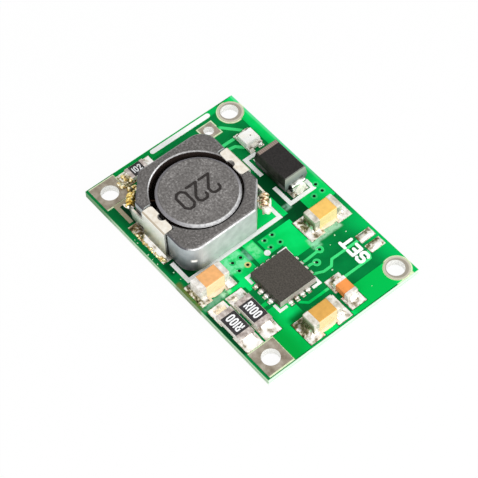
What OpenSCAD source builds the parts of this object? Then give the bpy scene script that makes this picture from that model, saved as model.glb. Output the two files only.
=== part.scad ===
// Lithium battery charger module: a small circuit board with its power inductor,
// diode, controller, indicator and chip parts, each soldered to its own lands.
// X runs along the long side, Y along the short side and Z up.
// The origin is the centre of the board's flat underside.

/* [Board] */
// Length of the board, along X
board_l = 25.6; // [25.5:0.1:32]
// Width of the board, along Y
board_w = 17.0; // [16.9:0.1:22]
// Thickness of the laminate
board_t = 0.8; // [0.6:0.1:1.6]
// Height of the masked copper above the laminate
copper_t = 0.04; // [0.02:0.01:0.08]
// Height of the tin on a land above the masked copper
tin_t = 0.02; // [0.01:0.01:0.05]
// Height of the printed ink above the masked copper
ink_t = 0.01; // [0.01:0.01:0.02]
// Open ring in the mask round each land
mask_gap = 0.08; // [0.04:0.01:0.12]
// Width of the signal tracks
track_w = 0.26; // [0.2:0.02:0.4]
// Width of the printed lines
line_w = 0.4; // [0.2:0.02:0.44]
// Width of the printed marks at the controller's corners
mark_w = 0.28; // [0.2:0.02:0.3]
// Bare margin between the copper and the board's edge
edge_gap = 0.1; // [0.05:0.05:0.3]

/* [Wire holes] */
// Diameter of the corner wire holes
wire_hole_d = 1.7; // [1:0.1:2]
// Side of the square pads
wire_pad = 2.7; // [2.3:0.1:2.8]
// Diameter of the round pads
round_pad_d = 2.4; // [2.3:0.05:2.6]
// Drift of the pads against their drilled holes
pad_drift = [0.1, 0.07]; // [-0.12:0.01:0.12]
// From a round pad's hole to the board's end
round_end_gap = 1.4; // [1.2:0.05:2]
// From a round pad's hole to the board's side
round_side_gap = 1.4; // [1.2:0.05:2]
// From a square pad's hole to the board's end
square_end_gap = 1.58; // [1.4:0.02:1.6]
// From a square pad's hole to the board's side
square_side_gap = 1.58; // [1.4:0.02:1.6]
// Wall of the lining in a wire hole
lining_t = 0.17; // [0.16:0.01:0.24]
// Diameter of the small wire hole
small_hole_d = 1.0; // [0.8:0.1:1.2]
// Side of the small wire hole's pad
small_pad = 1.5; // [1.4:0.1:1.8]
// Small wire hole, from the centre line and from the upper side
small_hole_place = [-10.9, 4.25]; // [-12:0.05:12]
// Diameter of a via's hole
via_d = 0.3; // [0.2:0.05:0.36]
// Plating thickness in a via
plating_t = 0.05; // [0.03:0.01:0.06]
// Diameter of a via's ring
via_ring_d = 0.62; // [0.5:0.02:0.8]

/* [Inductor] */
// Inductor, from the centre line and from the lower side
inductor_place = [-4.2, 6.15]; // [-12:0.01:12]
// Length of the ferrite shield, along X
shield_l = 10.0; // [9.6:0.1:10.2]
// Width of the ferrite shield, along Y
shield_w = 9.7; // [9.5:0.1:9.9]
// Height of the ferrite shield
shield_h = 3.55; // [3:0.05:5]
// Large corner cut of the shield, along X
big_cut_x = 2.5; // [2:0.1:2.8]
// Large corner cut of the shield, along Y
big_cut_y = 2.25; // [1.8:0.05:2.6]
// Radius of the shield's two round corners
round_corner_r = 1.6; // [1:0.1:2]
// Bevel on the shield's edges
shield_bevel = 0.22; // [0.1:0.02:0.3]
// Bore of the shield
shield_bore_d = 8.4; // [8.2:0.1:8.6]
// Bevel at the mouth of the shield's bore
bore_bevel = 0.1; // [0.05:0.01:0.15]
// Diameter of the drum's flanges
drum_d = 7.65; // [7.2:0.05:7.9]
// Thickness of the drum's flanges
flange_t = 0.7; // [0.5:0.05:0.9]
// Bevel of the drum's top rim
drum_bevel = 0.24; // [0.1:0.02:0.4]
// How far the drum lies below the shield's top
drum_sink = 0.15; // [0.05:0.05:0.4]
// Shift of the drum in the shield's bore
drum_shift = [0.1, 0.12]; // [-0.12:0.01:0.12]
// Diameter of the drum's post
post_d = 3.8; // [3:0.1:5]
// Diameter of the coil's wire
wire_d = 0.24; // [0.2:0.02:0.3]
// Turns of wire along the post
coil_rows = 8; // [3:1:8]
// Layers of wire round the post
coil_layers = 5; // [2:1:5]
// Width of the terminal clips
clip_w = 3.15; // [2.6:0.05:3.4]
// Sideways offset of the clips from the centre line
clip_offset = 0.28; // [0:0.02:0.4]
// Sheet thickness of the terminal clips
clip_t = 0.18; // [0.12:0.02:0.24]
// How far a clip reaches over the shield's top
clip_reach = 1.05; // [0.8:0.05:1.2]
// How far a clip's foot reaches under the drum
clip_foot = 2.4; // [1.8:0.1:2.8]
// How far a clip's plate lies below the shield's top
plate_sink = 0.08; // [0:0.02:0.12]
// Clearance between a clip and the shield
clip_gap = 0.04; // [0.02:0.01:0.08]
// Clearance at each side of a clip in its seat
seat_gap = 0.14; // [0.1:0.02:0.3]
// Radius of the half-round notch in a clip
clip_notch_r = 0.42; // [0.3:0.02:0.5]
// Height of the strap at a clip's side
strap_h = 1.05; // [0.8:0.05:1.1]
// Level of the strap above the clip's foot
strap_rise = 1.4; // [1.2:0.05:1.45]
// How far the strap's lower edge drops towards the shield's cut corner
strap_drop = 0.45; // [0.2:0.05:0.5]
// Height of the tail that the strap ends in
tail_h = 0.4; // [0.35:0.05:0.5]
// Gap between the wire's turns and the shield's cut corner
tail_gap = 0.12; // [0.06:0.02:0.16]
// Turns of wire round a tail
tail_turns = 5; // [3:1:5]

/* [Diode] */
// Diode, from the centre line and from the upper side
diode_place = [-2.86, 2.4]; // [-12:0.01:12]
// Length of the moulded body
diode_l = 4.3; // [4:0.05:4.4]
// Width of the moulded body
diode_w = 2.6; // [2.4:0.05:2.7]
// Height of the moulded body
diode_h = 1.95; // [1.7:0.05:2.3]
// Draft of the moulded body from its waist to its top and bottom
diode_draft = 0.13; // [0.05:0.01:0.2]
// Length over the leads
diode_span = 5.2; // [5:0.05:5.3]
// Width of a lead
diode_lead_w = 1.45; // [1.2:0.05:1.6]
// Sheet thickness of a lead
diode_lead_t = 0.2; // [0.15:0.01:0.25]
// Length of a lead's foot
diode_foot = 1.2; // [0.9:0.05:1.5]

/* [Controller] */
// Controller, from the centre line and from the lower side
controller_place = [6.03, 7.35]; // [-12:0.01:12]
// Side of the square body
controller_s = 4.0; // [3.9:0.05:4.1]
// Height of the body
controller_h = 0.8; // [0.7:0.05:1]
// Leads on each side
controller_leads_n = 4; // [3:1:5]
// Pitch of the leads
lead_pitch = 0.65; // [0.5:0.05:0.7]
// Width of a lead
lead_w = 0.3; // [0.2:0.02:0.34]
// Length of a lead under the body
lead_l = 0.45; // [0.3:0.05:0.5]
// Height of a lead on the side
lead_t = 0.2; // [0.15:0.01:0.25]
// Side of the heat pad
heat_pad_s = 2.6; // [2.2:0.05:2.7]

/* [Indicator] */
// Indicator, from the centre line and from the upper side
led_place = [-7.6, 2.22]; // [-12:0.01:12]
// Length of the indicator
led_l = 2.05; // [1.9:0.05:2.15]
// Width of the indicator
led_w = 1.6; // [1.5:0.05:1.7]
// Height of the base
led_base_h = 0.3; // [0.2:0.02:0.4]
// Length of the lens
led_lens_l = 1.4; // [1.2:0.05:1.4]
// Height of the lens
led_lens_h = 0.45; // [0.3:0.05:0.6]
// Draft of the lens
led_draft = 0.06; // [0.02:0.01:0.1]
// Length of a terminal
led_term_l = 0.32; // [0.25:0.01:0.32]
// Width of a terminal
led_term_w = 0.56; // [0.4:0.02:0.6]
// Side of a light die
led_die = 0.26; // [0.2:0.02:0.34]

/* [Chip parts] */
// Length of the large chips
chip_l = 3.2; // [3:0.05:3.3]
// Width of the large chips
chip_w = 1.6; // [1.5:0.02:1.68]
// Height of the large capacitors
cap_h = 1.6; // [1:0.05:1.8]
// Height of the sense resistors
sense_h = 0.6; // [0.5:0.02:0.7]
// Length of a large chip's metal end
chip_end_l = 0.6; // [0.4:0.02:0.7]
// Length of the small chips
small_chip_l = 2.0; // [1.9:0.05:2.1]
// Width of the small chips
small_chip_w = 1.25; // [1.2:0.01:1.3]
// Height of the small capacitor
small_cap_h = 0.85; // [0.6:0.05:1.2]
// Height of the small resistor
small_res_h = 0.5; // [0.4:0.02:0.6]
// Length of a small chip's metal end
small_end_l = 0.42; // [0.3:0.02:0.5]
// Thickness of the metal on a chip's end
end_t = 0.03; // [0.02:0.01:0.05]
// Eased edge of a chip
chip_ease = 0.1; // [0.04:0.01:0.14]
// Thickness of a resistor's black coat
coat_t = 0.06; // [0.04:0.01:0.1]
// Upper capacitor, from the centre line and from the upper side
upper_cap_place = [3.33, 2.8]; // [-12:0.01:12]
// Right capacitor, from the centre line and from the lower side
right_cap_place = [11.27, 7.26]; // [-12:0.01:12]
// Lower capacitor, from the centre line and from the lower side
lower_cap_place = [2.38, 2.2]; // [-12:0.01:12]
// Small capacitor, from the centre line and from the lower side
small_cap_place = [10.35, 10.7]; // [-12:0.01:12]
// Upper sense resistor, from the centre line and from the lower side
sense_upper_place = [6.98, 3.2]; // [-12:0.01:12]
// Lower sense resistor, from the centre line and from the lower side
sense_lower_place = [6.98, 1.2]; // [-12:0.01:12]
// Indicator's resistor, from the centre line and from the lower side
led_res_place = [-11.45, 4.9]; // [-12:0.01:12]

/* [Lands and solder] */
// Length over a large capacitor's lands
cap_span = 4.7; // [4.4:0.05:4.76]
// Length over the lower capacitor's lands
lower_cap_span = 3.86; // [3.7:0.02:4]
// Width of a large capacitor's lands
cap_land_w = 2.64; // [2.2:0.02:2.66]
// Length over a sense resistor's lands
sense_span = 5.46; // [5:0.02:5.5]
// Width of a sense resistor's lands
sense_land_w = 1.8; // [1.7:0.02:1.86]
// Length over a small chip's lands
small_span = 3.7; // [3.2:0.05:3.75]
// Width of a small chip's lands
small_land_w = 1.64; // [1.5:0.02:1.7]
// How far a land reaches in under its part
land_under = 0.25; // [0.1:0.05:0.35]
// Solder left thin at a land's edge
solder_film = 0.05; // [0.03:0.01:0.08]
// Height that solder climbs on a large capacitor
cap_climb = 0.75; // [0.4:0.05:1]
// Height that solder climbs on a low chip
chip_climb = 0.42; // [0.3:0.02:0.5]
// Bare rim of a land round its solder
solder_rim = 0.06; // [0.03:0.01:0.1]
// Solder jumper, from the centre line and from the upper side
jumper_place = [7.78, 1.12]; // [-12:0.01:12]
// Length of a jumper pad, along Y
jumper_l = 1.62; // [1.4:0.02:1.7]
// Width of a jumper pad
jumper_w = 0.95; // [0.8:0.05:1]
// Gap between the jumper pads
jumper_gap = 0.34; // [0.2:0.02:0.5]
// Height of the solder on a jumper pad
jumper_dome = 0.24; // [0.1:0.02:0.3]

/* [Hidden] */
$fn = 48;

// Depth by which a cutting shape passes the face that it opens
past = 1;
// Height of the top of a tinned land, on which every part stands
land_h = copper_t + tin_t;
land_z = board_t + land_h;

// A place given from the centre line and from the board's lower or upper side
function from_low(p) = [p[0], p[1] - board_w / 2];
function from_high(p) = [p[0], board_w / 2 - p[1]];

inductor_at = from_low(inductor_place);
controller_at = from_low(controller_place);
right_cap_at = from_low(right_cap_place);
lower_cap_at = from_low(lower_cap_place);
small_cap_at = from_low(small_cap_place);
sense_upper_at = from_low(sense_upper_place);
sense_lower_at = from_low(sense_lower_place);
led_res_at = from_low(led_res_place);
diode_at = from_high(diode_place);
led_at = from_high(led_place);
upper_cap_at = from_high(upper_cap_place);
jumper_at = from_high(jumper_place);
small_hole_at = from_high(small_hole_place);

// Corner wire holes, left one first
round_x = board_l / 2 - round_end_gap;
round_y = board_w / 2 - round_side_gap;
square_x = board_l / 2 - square_end_gap;
square_y = board_w / 2 - square_side_gap;
corner_holes = [[-round_x, round_y], [round_x, round_y], [-square_x, -square_y], [square_x, -square_y]];

// Vias in the pours: beside the diode, beside the controller's left side, and the two signal vias
diode_vias = [for (p = [[2.96, 1.6], [3.86, 1.6], [3.86, 0.65]]) diode_at + p];
side_vias = [
    for (p = [[-4.28, 2.35], [-3.23, 2.4], [-4.23, 1.45], [-3.33, 1.4]]) controller_at + p,
    for (p = [[-4.23, -1.3], [-3.23, -1.3], [-4.23, -2.2], [-3.23, -2.25]]) controller_at + p
];
signal_vias = [for (p = [[-0.38, 4.5], [0.48, 3.42]]) controller_at + p];
vias = concat(diode_vias, side_vias, signal_vias);

// Inductor levels and the slope of its large corner cut
shield_z = land_z + clip_t;
drum_h = shield_h - drum_sink;
clip_face_y = shield_w / 2 + clip_gap + clip_t;
cut_turn = atan2(-big_cut_y, big_cut_x);
coil_r = post_d / 2 + coil_layers * wire_d;

// Strap of a clip, in the upright's plane as far as the bend, and its tail along the cut corner.
// On the cut, X points out of the corner and Y back along the tail.
strap_z = land_z + strap_rise;
strap_y = -clip_face_y + clip_t / 2;
strap_end = shield_l / 2 - big_cut_x;
tail_mid = strap_z + strap_h - 0.2 - tail_h / 2;
wrap_r = norm([tail_h, clip_t]) / 2 + wire_d / 2 + 0.005;
wrap_pitch = 1.12 * wire_d;
wrap_lean = 14;
cut_out = shield_w / 2 * cos(cut_turn) - strap_end * sin(cut_turn);
tail_out = cut_out + tail_gap + wrap_r + wire_d / 2;
bend_x = (tail_out + strap_y * cos(cut_turn)) / -sin(cut_turn);
bend_y = strap_y * sin(cut_turn) - bend_x * cos(cut_turn);
first_wrap = bend_y - wire_d / 2 - wrap_r * sin(wrap_lean) - clip_t / 2;
tail_end = first_wrap - (tail_turns - 1) * wrap_pitch - 0.3;
run_y = first_wrap - 2 * wrap_pitch;
run_end = coil_r + norm(drum_shift) + 0.03;

// Land reach of the inductor in front of its clips
inductor_land_l = 5.1;
inductor_land_out = 0.6;
inductor_land_shift = 0.35;

// Diode levels and lands
diode_z = land_z + diode_lead_t;
diode_waist = diode_h / 2;
diode_land_out = 0.22;
diode_land_w = 1.8;

// Controller lands
lead_land_out = 0.5;
lead_land_w = 0.36;
lead_row = [for (i = [0 : controller_leads_n - 1]) (i - (controller_leads_n - 1) / 2) * lead_pitch];

// Indicator lands
led_land_l = 0.62;
led_land_out = 0.26;

// Chip parts: place, turn, length, width and height
upper_cap = [upper_cap_at, 90, chip_l, chip_w, cap_h, chip_end_l];
right_cap = [right_cap_at, 90, chip_l, chip_w, cap_h, chip_end_l];
lower_cap = [lower_cap_at, 90, chip_l, chip_w, cap_h, chip_end_l];
small_cap = [small_cap_at, 0, small_chip_l, small_chip_w, small_cap_h, small_end_l];
sense_upper = [sense_upper_at, 0, chip_l, chip_w, sense_h, chip_end_l];
sense_lower = [sense_lower_at, 0, chip_l, chip_w, sense_h, chip_end_l];
led_res = [led_res_at, 90, small_chip_l, small_chip_w, small_res_h, small_end_l];

// Each chip with the length over its lands, their width and the climb of its solder
cap_sites = [
    [upper_cap, cap_span, cap_land_w, cap_climb],
    [right_cap, cap_span, cap_land_w, cap_climb],
    [lower_cap, lower_cap_span, cap_land_w, cap_climb],
    [small_cap, small_span, small_land_w, chip_climb]
];
res_sites = [
    [sense_upper, sense_span, sense_land_w, chip_climb],
    [sense_lower, sense_span, sense_land_w, chip_climb],
    [led_res, small_span, small_land_w, chip_climb]
];

mask_green = [0.02, 0.42, 0.18];
copper_green = [0.02, 0.62, 0.28];
ink_white = [0.95, 0.96, 0.94];
tin_grey = [0.72, 0.68, 0.64];
solder_grey = [0.85, 0.84, 0.83];
ferrite_grey = [0.37, 0.36, 0.35];
sheet_tin = [0.88, 0.84, 0.78];
copper_red = [0.78, 0.5, 0.22];
mould_black = [0.15, 0.14, 0.14];
end_metal = [0.84, 0.8, 0.78];
ceramic_tan = [0.9, 0.66, 0.28];
ceramic_orange = [0.94, 0.58, 0.28];
alumina_white = [0.93, 0.92, 0.88];
lens_cream = [0.96, 0.94, 0.86];

// Shared shapes

// Block with eased edges, standing on z = 0
module soft_block(l, w, h, r) {
    edge = r * (1 - sqrt(1 / 2));
    corner = r * (1 - sqrt(1 / 3));
    insets = [
        [0, r, r], [r, 0, r], [r, r, 0],
        [edge, edge, r], [edge, r, edge], [r, edge, edge],
        [corner, corner, corner]
    ];
    translate([0, 0, h / 2])
        hull()
            for (e = insets)
                cube([l - 2 * e[0], w - 2 * e[1], h - 2 * e[2]], center = true);
}

// Line of even width with round ends and corners
module stroke(path, w) {
    for (p = path)
        translate(p) circle(d = w);
    for (i = [1 : len(path) - 1]) {
        step = path[i] - path[i - 1];
        translate(path[i - 1])
            rotate(atan2(step[1], step[0]))
                translate([0, -w / 2]) square([norm(step), w]);
    }
}

// Hollow solder profile from a wall at x = 0 down to a thin edge
module meniscus(run, climb) {
    drop = climb - solder_film;
    r = (run * run + drop * drop) / (2 * drop);
    difference() {
        square([run, climb]);
        translate([run, solder_film + r]) circle(r, $fn = 96);
    }
}

// Bank of solder against a wall at x = 0, hollow on its front and both ends
module solder_bank(back, run, climb, core_w, land_w) {
    end_run = (land_w - core_w) / 2;
    rise = min(climb, run + solder_film, end_run + solder_film);
    intersection() {
        rotate([90, 0, 0])
            linear_extrude(land_w, center = true) {
                if (back > 0)
                    translate([-back, 0]) square([back, rise]);
                meniscus(run, rise);
            }
        rotate([90, 0, 90])
            translate([0, 0, -back])
                linear_extrude(back + run) {
                    translate([-core_w / 2, 0]) square([core_w, rise]);
                    for (side = [0, 1])
                        mirror([side, 0]) translate([core_w / 2, 0]) meniscus(end_run, rise);
                }
    }
}

// Cushion of solder on a rectangular land, round both ways
module solder_cushion(l, w, h) {
    intersection_for (side = [[l, w, 0], [w, l, 90]]) {
        r = (side[0] * side[0] / 4 + h * h) / (2 * h);
        rotate([90, 0, side[2]])
            linear_extrude(side[1], center = true)
                intersection() {
                    translate([-side[0] / 2, 0]) square([side[0], h]);
                    translate([0, h - r]) circle(r, $fn = 96);
                }
    }
}

// Lands, printed lines and copper, drawn flat

module pad_shape(i, grow) {
    margin = 2 * (edge_gap / 2 - grow);
    intersection() {
        translate(corner_holes[i] + (i < 2 ? pad_drift : [0, 0]))
            if (i < 2) circle(d = round_pad_d + 2 * grow);
            else square(wire_pad + 2 * grow, center = true);
        square([board_l - margin, board_w - margin], center = true);
    }
}

module small_pad_shape(grow) {
    translate(small_hole_at + pad_drift / 2) square(small_pad + 2 * grow, center = true);
}

// Every wire hole's pad
module wire_pads(grow = 0) {
    for (i = [0 : 3])
        pad_shape(i, grow);
    small_pad_shape(grow);
}

module chip_lands(site, grow) {
    chip = site[0];
    inner = chip[2] / 2 - chip[5] - land_under;
    land_l = site[1] / 2 - inner;
    translate(chip[0])
        rotate(chip[1])
            for (side = [-1, 1])
                translate([side * (inner + land_l / 2), 0])
                    square([land_l + 2 * grow, site[2] + 2 * grow], center = true);
}

module inductor_lands(grow) {
    land_w = clip_foot + inductor_land_out;
    translate(inductor_at)
        for (turn = [0, 180])
            rotate(turn)
                translate([-inductor_land_shift, -clip_face_y - inductor_land_out + land_w / 2])
                    square([inductor_land_l + 2 * grow, land_w + 2 * grow], center = true);
}

module diode_lands(grow) {
    land_l = diode_foot + diode_land_out + land_under;
    translate(diode_at)
        for (side = [-1, 1])
            translate([side * (diode_span / 2 + diode_land_out - land_l / 2), 0])
                square([land_l + 2 * grow, diode_land_w + 2 * grow], center = true);
}

module controller_lands(grow) {
    land_l = lead_l + lead_land_out;
    translate(controller_at) {
        square(heat_pad_s + 2 * grow, center = true);
        for (turn = [0 : 90 : 270], y = lead_row)
            rotate(turn)
                translate([controller_s / 2 + lead_land_out - land_l / 2, y])
                    square([land_l + 2 * grow, lead_land_w + 2 * grow], center = true);
    }
}

module led_lands(grow) {
    translate(led_at)
        for (x = [-1, 1], y = [-1, 1])
            translate([x * (led_l / 2 + led_land_out - led_land_l / 2), y * (led_w - led_term_w) / 2])
                square([led_land_l + 2 * grow, led_term_w + 2 * grow], center = true);
}

module jumper_lands(grow) {
    translate(jumper_at)
        for (side = [-1, 1])
            translate([side * (jumper_w + jumper_gap) / 2, 0])
                square([jumper_w + 2 * grow, jumper_l + 2 * grow], center = true);
}

module all_lands(grow = 0) {
    for (site = concat(cap_sites, res_sites))
        chip_lands(site, grow);
    inductor_lands(grow);
    diode_lands(grow);
    controller_lands(grow);
    led_lands(grow);
    jumper_lands(grow);
}

// Rectangle between two corners
module patch(a, b) {
    translate(a) square(b - a);
}

// Printed line along X and Y, with square ends and corners
module ruled(path, w = line_w) {
    margin = [w, w] / 2;
    for (i = [1 : len(path) - 1]) {
        a = path[i - 1];
        b = path[i];
        patch([min(a[0], b[0]), min(a[1], b[1])] - margin, [max(a[0], b[0]), max(a[1], b[1])] + margin);
    }
}

// Corner of a printed outline: two legs that meet at a point
module corner_mark(at, leg_x, leg_y, w = line_w) {
    ruled([at + [leg_x, 0], at, at + [0, leg_y]], w);
}

module inductor_print() {
    right = shield_l / 2 - 0.08;
    top = shield_w / 2 + 0.45;
    bottom = -shield_w / 2 - 0.2;
    translate(inductor_at) {
        ruled([[3.4, top], [right, top], [right, bottom], [2.75, bottom]]);
        corner_mark([-shield_l / 2 - 0.4, bottom], 2.0, 0.9);
    }
}

module diode_print() {
    right = diode_span / 2 + diode_land_out + line_w / 2 + 0.1;
    left = -right - 0.1;
    low = -diode_w / 2 - 0.15;
    high = diode_w / 2 - 0.1;
    translate(diode_at) {
        corner_mark([left, low], 2.1, 1.05);
        ruled([[1.0, low], [right, low], [right, high], [2.2, high]]);
    }
}

module controller_print() {
    reach = controller_s / 2 + 0.38 - mark_w / 2;
    leg = 0.67;
    translate(controller_at) {
        for (x = [-1, 1], y = [-1, 1])
            corner_mark([x * reach, y * reach], -x * leg, -y * leg, mark_w);
        translate([-controller_s / 2 - 1.07, 0.8]) circle(r = 0.3);
    }
}

module polarity_bar() {
    bar_x = -board_l / 2 + 0.44;
    bar_low = led_res_at[1] + small_span / 2 + 0.6;
    stroke([[bar_x, bar_low], [bar_x, board_w / 2 - 3.25]], line_w + 0.1);
}

module print_shapes() {
    difference() {
        union() {
            inductor_print();
            diode_print();
            controller_print();
            polarity_bar();
        }
        all_lands(mask_gap / 2);
        wire_pads(mask_gap);
    }
}

module pour_shapes() {
    left = -board_l / 2 + edge_gap;
    right = board_l / 2 - edge_gap;
    high = board_w / 2 - edge_gap;
    coil_right = inductor_at[0] + shield_l / 2;
    coil_back = inductor_at[1] + shield_w / 2;
    chip_left = controller_at[0] - controller_s / 2;
    chip_right = controller_at[0] + controller_s / 2;
    chip_top = controller_at[1] + controller_s / 2;
    chip_low = controller_at[1] - controller_s / 2;
    diode_right = diode_at[0] + diode_span / 2;
    // Upper edge, from the left wire hole past the diode to the upper capacitor
    patch([left, diode_at[1] + diode_w / 2 + 0.05], [upper_cap_at[0] - cap_land_w / 2, high]);
    patch([diode_right - 0.9, diode_at[1] - 0.6], [upper_cap_at[0] - chip_w, diode_at[1] + 1.8]);
    // From the upper capacitor to the controller's upper corner
    patch([coil_right + 0.66, chip_top + 0.35], [upper_cap_at[0] + chip_w, upper_cap_at[1] - chip_l / 2 - 0.65]);
    patch([coil_right + 0.66, chip_top - 1.1], [chip_left - 0.83, chip_top + 0.5]);
    // From the inductor to the controller's left side and down to the sense resistors
    patch([coil_right + 0.15, chip_low + 1.55], [chip_left - 0.43, chip_low + 2.65]);
    patch([coil_right + 0.15, chip_low - 0.95], [chip_left + 0.97, chip_low + 1.15]);
    patch([lower_cap_at[0] + cap_land_w / 2, sense_upper_at[1] - 0.3], [chip_left + 0.37, chip_low - 0.9]);
    // Right end
    patch([small_cap_at[0] - 0.05, small_cap_at[1] + 0.2], [right, board_w / 2 - 1.5]);
    patch([right - 0.5, right_cap_at[1] - 0.7], [right, small_cap_at[1] + 0.25]);
    patch([chip_right - 0.53, sense_upper_at[1] - 0.2], [right, right_cap_at[1] - 0.66]);
    patch([sense_upper_at[0] - 0.28, sense_upper_at[1] + 0.7], [sense_upper_at[0] + 0.12, chip_low]);
    // Inductor's back terminal
    patch([coil_right - 2.2, coil_back + 0.7], [coil_right + 0.1, coil_back + 1.25]);
    patch([coil_right - 2.2, coil_back - 2.5], [coil_right - 0.3, coil_back + 0.4]);
    // Left end, beside the indicator's resistor
    patch([left, led_res_at[1] - small_span / 2], [left + 1, led_res_at[1] + small_span / 2 + 1.4]);
}

module track_shapes() {
    jumper_x = (jumper_w + jumper_gap) / 2;
    jumper_low = jumper_at[1] - jumper_l / 2;
    lead_y = controller_at[1] + controller_s / 2;
    lead_x = controller_at[0] + controller_s / 2;
    side_w = track_w + 0.06;
    coil_back = inductor_at[1] + shield_w / 2;
    // Jumper to the controller
    stroke([[jumper_at[0] - jumper_x, jumper_low], controller_at + [1.07, 4.65], controller_at + [1.59, 4.15],
        controller_at + [1.59, 3.25], [controller_at[0] + lead_row[len(lead_row) - 1], lead_y]], track_w);
    stroke([[jumper_at[0] + jumper_x, jumper_low], [lead_x + 1.17, jumper_low - 0.45],
        [lead_x + 1.17, lead_y - 1.8], [lead_x + 0.62, lead_y - 2.35], [lead_x, lead_y - 2.35]], track_w);
    // Signal vias to the controller
    for (i = [0, 1])
        stroke([signal_vias[i], controller_at + [lead_row[i + 1] * 0.9, 2.9], [controller_at[0] + lead_row[i + 1], lead_y]],
            track_w);
    for (p = signal_vias)
        translate(p) circle(d = via_ring_d + 0.16);
    // Indicator to its wire hole and to the inductor's side
    stroke([small_hole_at + [0.2, 0.85], led_at + [-led_l / 2, 0.6]], side_w);
    stroke([led_at + [-led_l / 2, -0.5], led_at + [-1.08, -1.38], [led_at[0] - 1.08, coil_back - 0.3]], side_w);
    stroke([led_at + [0.3, -0.8], led_at + [-0.3, -1.33], led_at + [-0.42, -1.98], [led_at[0] - 0.42, coil_back + 0.5]],
        side_w);
}

// Board

module circuit_board() {
    color(mask_green)
        difference() {
            linear_extrude(board_t) square([board_l, board_w], center = true);
            translate([0, 0, -past])
                linear_extrude(board_t + 2 * past) {
                    for (p = corner_holes)
                        translate(p) circle(d = wire_hole_d + 2 * lining_t);
                    translate(small_hole_at) circle(d = small_hole_d + 2 * lining_t);
                    for (p = vias)
                        translate(p) circle(d = via_d + 2 * plating_t);
                }
            translate([0, 0, -past])
                linear_extrude(past + copper_t) {
                    wire_pads();
                    for (p = vias)
                        translate(p) circle(d = via_ring_d);
                }
        }
}

module top_copper() {
    color(copper_green)
        translate([0, 0, board_t])
            linear_extrude(copper_t)
                difference() {
                    union() {
                        pour_shapes();
                        track_shapes();
                    }
                    all_lands(mask_gap);
                    wire_pads(mask_gap);
                    for (p = vias)
                        translate(p) circle(d = via_ring_d);
                    print_shapes();
                }
}

module component_outlines() {
    color(ink_white)
        translate([0, 0, board_t])
            linear_extrude(copper_t + ink_t)
                difference() {
                    print_shapes();
                    for (p = vias)
                        translate(p) circle(d = via_ring_d);
                }
}

module solder_lands() {
    color(tin_grey)
        translate([0, 0, board_t])
            linear_extrude(land_h)
                difference() {
                    all_lands();
                    wire_pads(mask_gap);
                }
}

module via_barrels() {
    color(copper_red)
        for (p = vias)
            translate(p)
                difference() {
                    union() {
                        cylinder(d = via_ring_d, h = copper_t);
                        cylinder(d = via_d + 2 * plating_t, h = board_t);
                        translate([0, 0, board_t]) cylinder(d = via_ring_d, h = copper_t);
                    }
                    translate([0, 0, -past]) cylinder(d = via_d, h = board_t + 2 * past);
                }
}

// Plated wire hole: pad on top, barrel, and pad let in flush below
module plated_hole(at, hole_d) {
    color(tin_grey)
        difference() {
            union() {
                linear_extrude(copper_t) children();
                translate(at) cylinder(d = hole_d + 2 * lining_t, h = land_z);
                translate([0, 0, board_t]) linear_extrude(land_h) children();
            }
            translate([at[0], at[1], -past]) cylinder(d = hole_d, h = land_z + 2 * past);
        }
}

module corner_pad(i) {
    plated_hole(corner_holes[i], wire_hole_d) pad_shape(i, 0);
}

module round_pad_left() corner_pad(0);
module round_pad_right() corner_pad(1);
module square_pad_left() corner_pad(2);
module square_pad_right() corner_pad(3);

module small_wire_pad() {
    plated_hole(small_hole_at, small_hole_d) small_pad_shape(0);
}

module jumper_solder() {
    color(solder_grey)
        translate([jumper_at[0], jumper_at[1], land_z])
            for (side = [-1, 1])
                translate([side * (jumper_w + jumper_gap) / 2, 0])
                    solder_cushion(jumper_w - 2 * solder_rim, jumper_l - 2 * solder_rim, jumper_dome);
}

// Inductor, in its own frame with the board's Z

module on_inductor(turn = 0) {
    translate([inductor_at[0], inductor_at[1], 0]) rotate(turn) children();
}

// Frame of the front cut corner
module on_cut() {
    rotate(cut_turn - 90) children();
}

// Outline of the shield, drawn in by an inset: two corners cut, two corners round
module shield_outline(inset) {
    x = shield_l / 2 - inset;
    y = shield_w / 2 - inset;
    r = round_corner_r - inset;
    // The ends of a sloping side move less than the inset when the outline is drawn in
    bx = big_cut_x - inset * (1 - tan((90 + cut_turn) / 2));
    by = big_cut_y - inset * (1 - tan(-cut_turn / 2));
    for (turn = [0, 180])
        rotate(turn) {
            polygon([[-x + bx, -y], [x - r, -y], [x, -y + r], [x, y - by], [-x, -y + by]]);
            translate([x - r, -y + r]) circle(r, $fn = 64);
        }
}

module shield_core() {
    slot_w = wire_d + 0.2;
    top_z = shield_z + shield_h;
    color(ferrite_grey)
        on_inductor()
            difference() {
                translate([0, 0, shield_z])
                    hull() {
                        linear_extrude(shield_h) shield_outline(shield_bevel);
                        translate([0, 0, shield_bevel])
                            linear_extrude(shield_h - 2 * shield_bevel) shield_outline(0);
                    }
                translate([0, 0, shield_z - past]) cylinder(d = shield_bore_d, h = shield_h + 2 * past);
                translate([0, 0, top_z - bore_bevel])
                    cylinder(d1 = shield_bore_d, d2 = shield_bore_d + 4 * bore_bevel, h = 2 * bore_bevel);
                for (turn = [0, 180])
                    rotate(turn) {
                        // Seat of the clip in the top
                        translate([clip_offset, -clip_face_y + (clip_reach + clip_gap) / 2, top_z])
                            cube([clip_w + 2 * seat_gap, clip_reach + clip_gap, 2 * (clip_t + plate_sink)], center = true);
                        // Way out for the wire, through the cut corner
                        on_cut()
                            translate([shield_bore_d / 2 - past / 2, run_y - slot_w / 2, shield_z - past])
                                cube([cut_out, slot_w, tail_mid + slot_w / 2 - shield_z + past]);
                    }
            }
}

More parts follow.
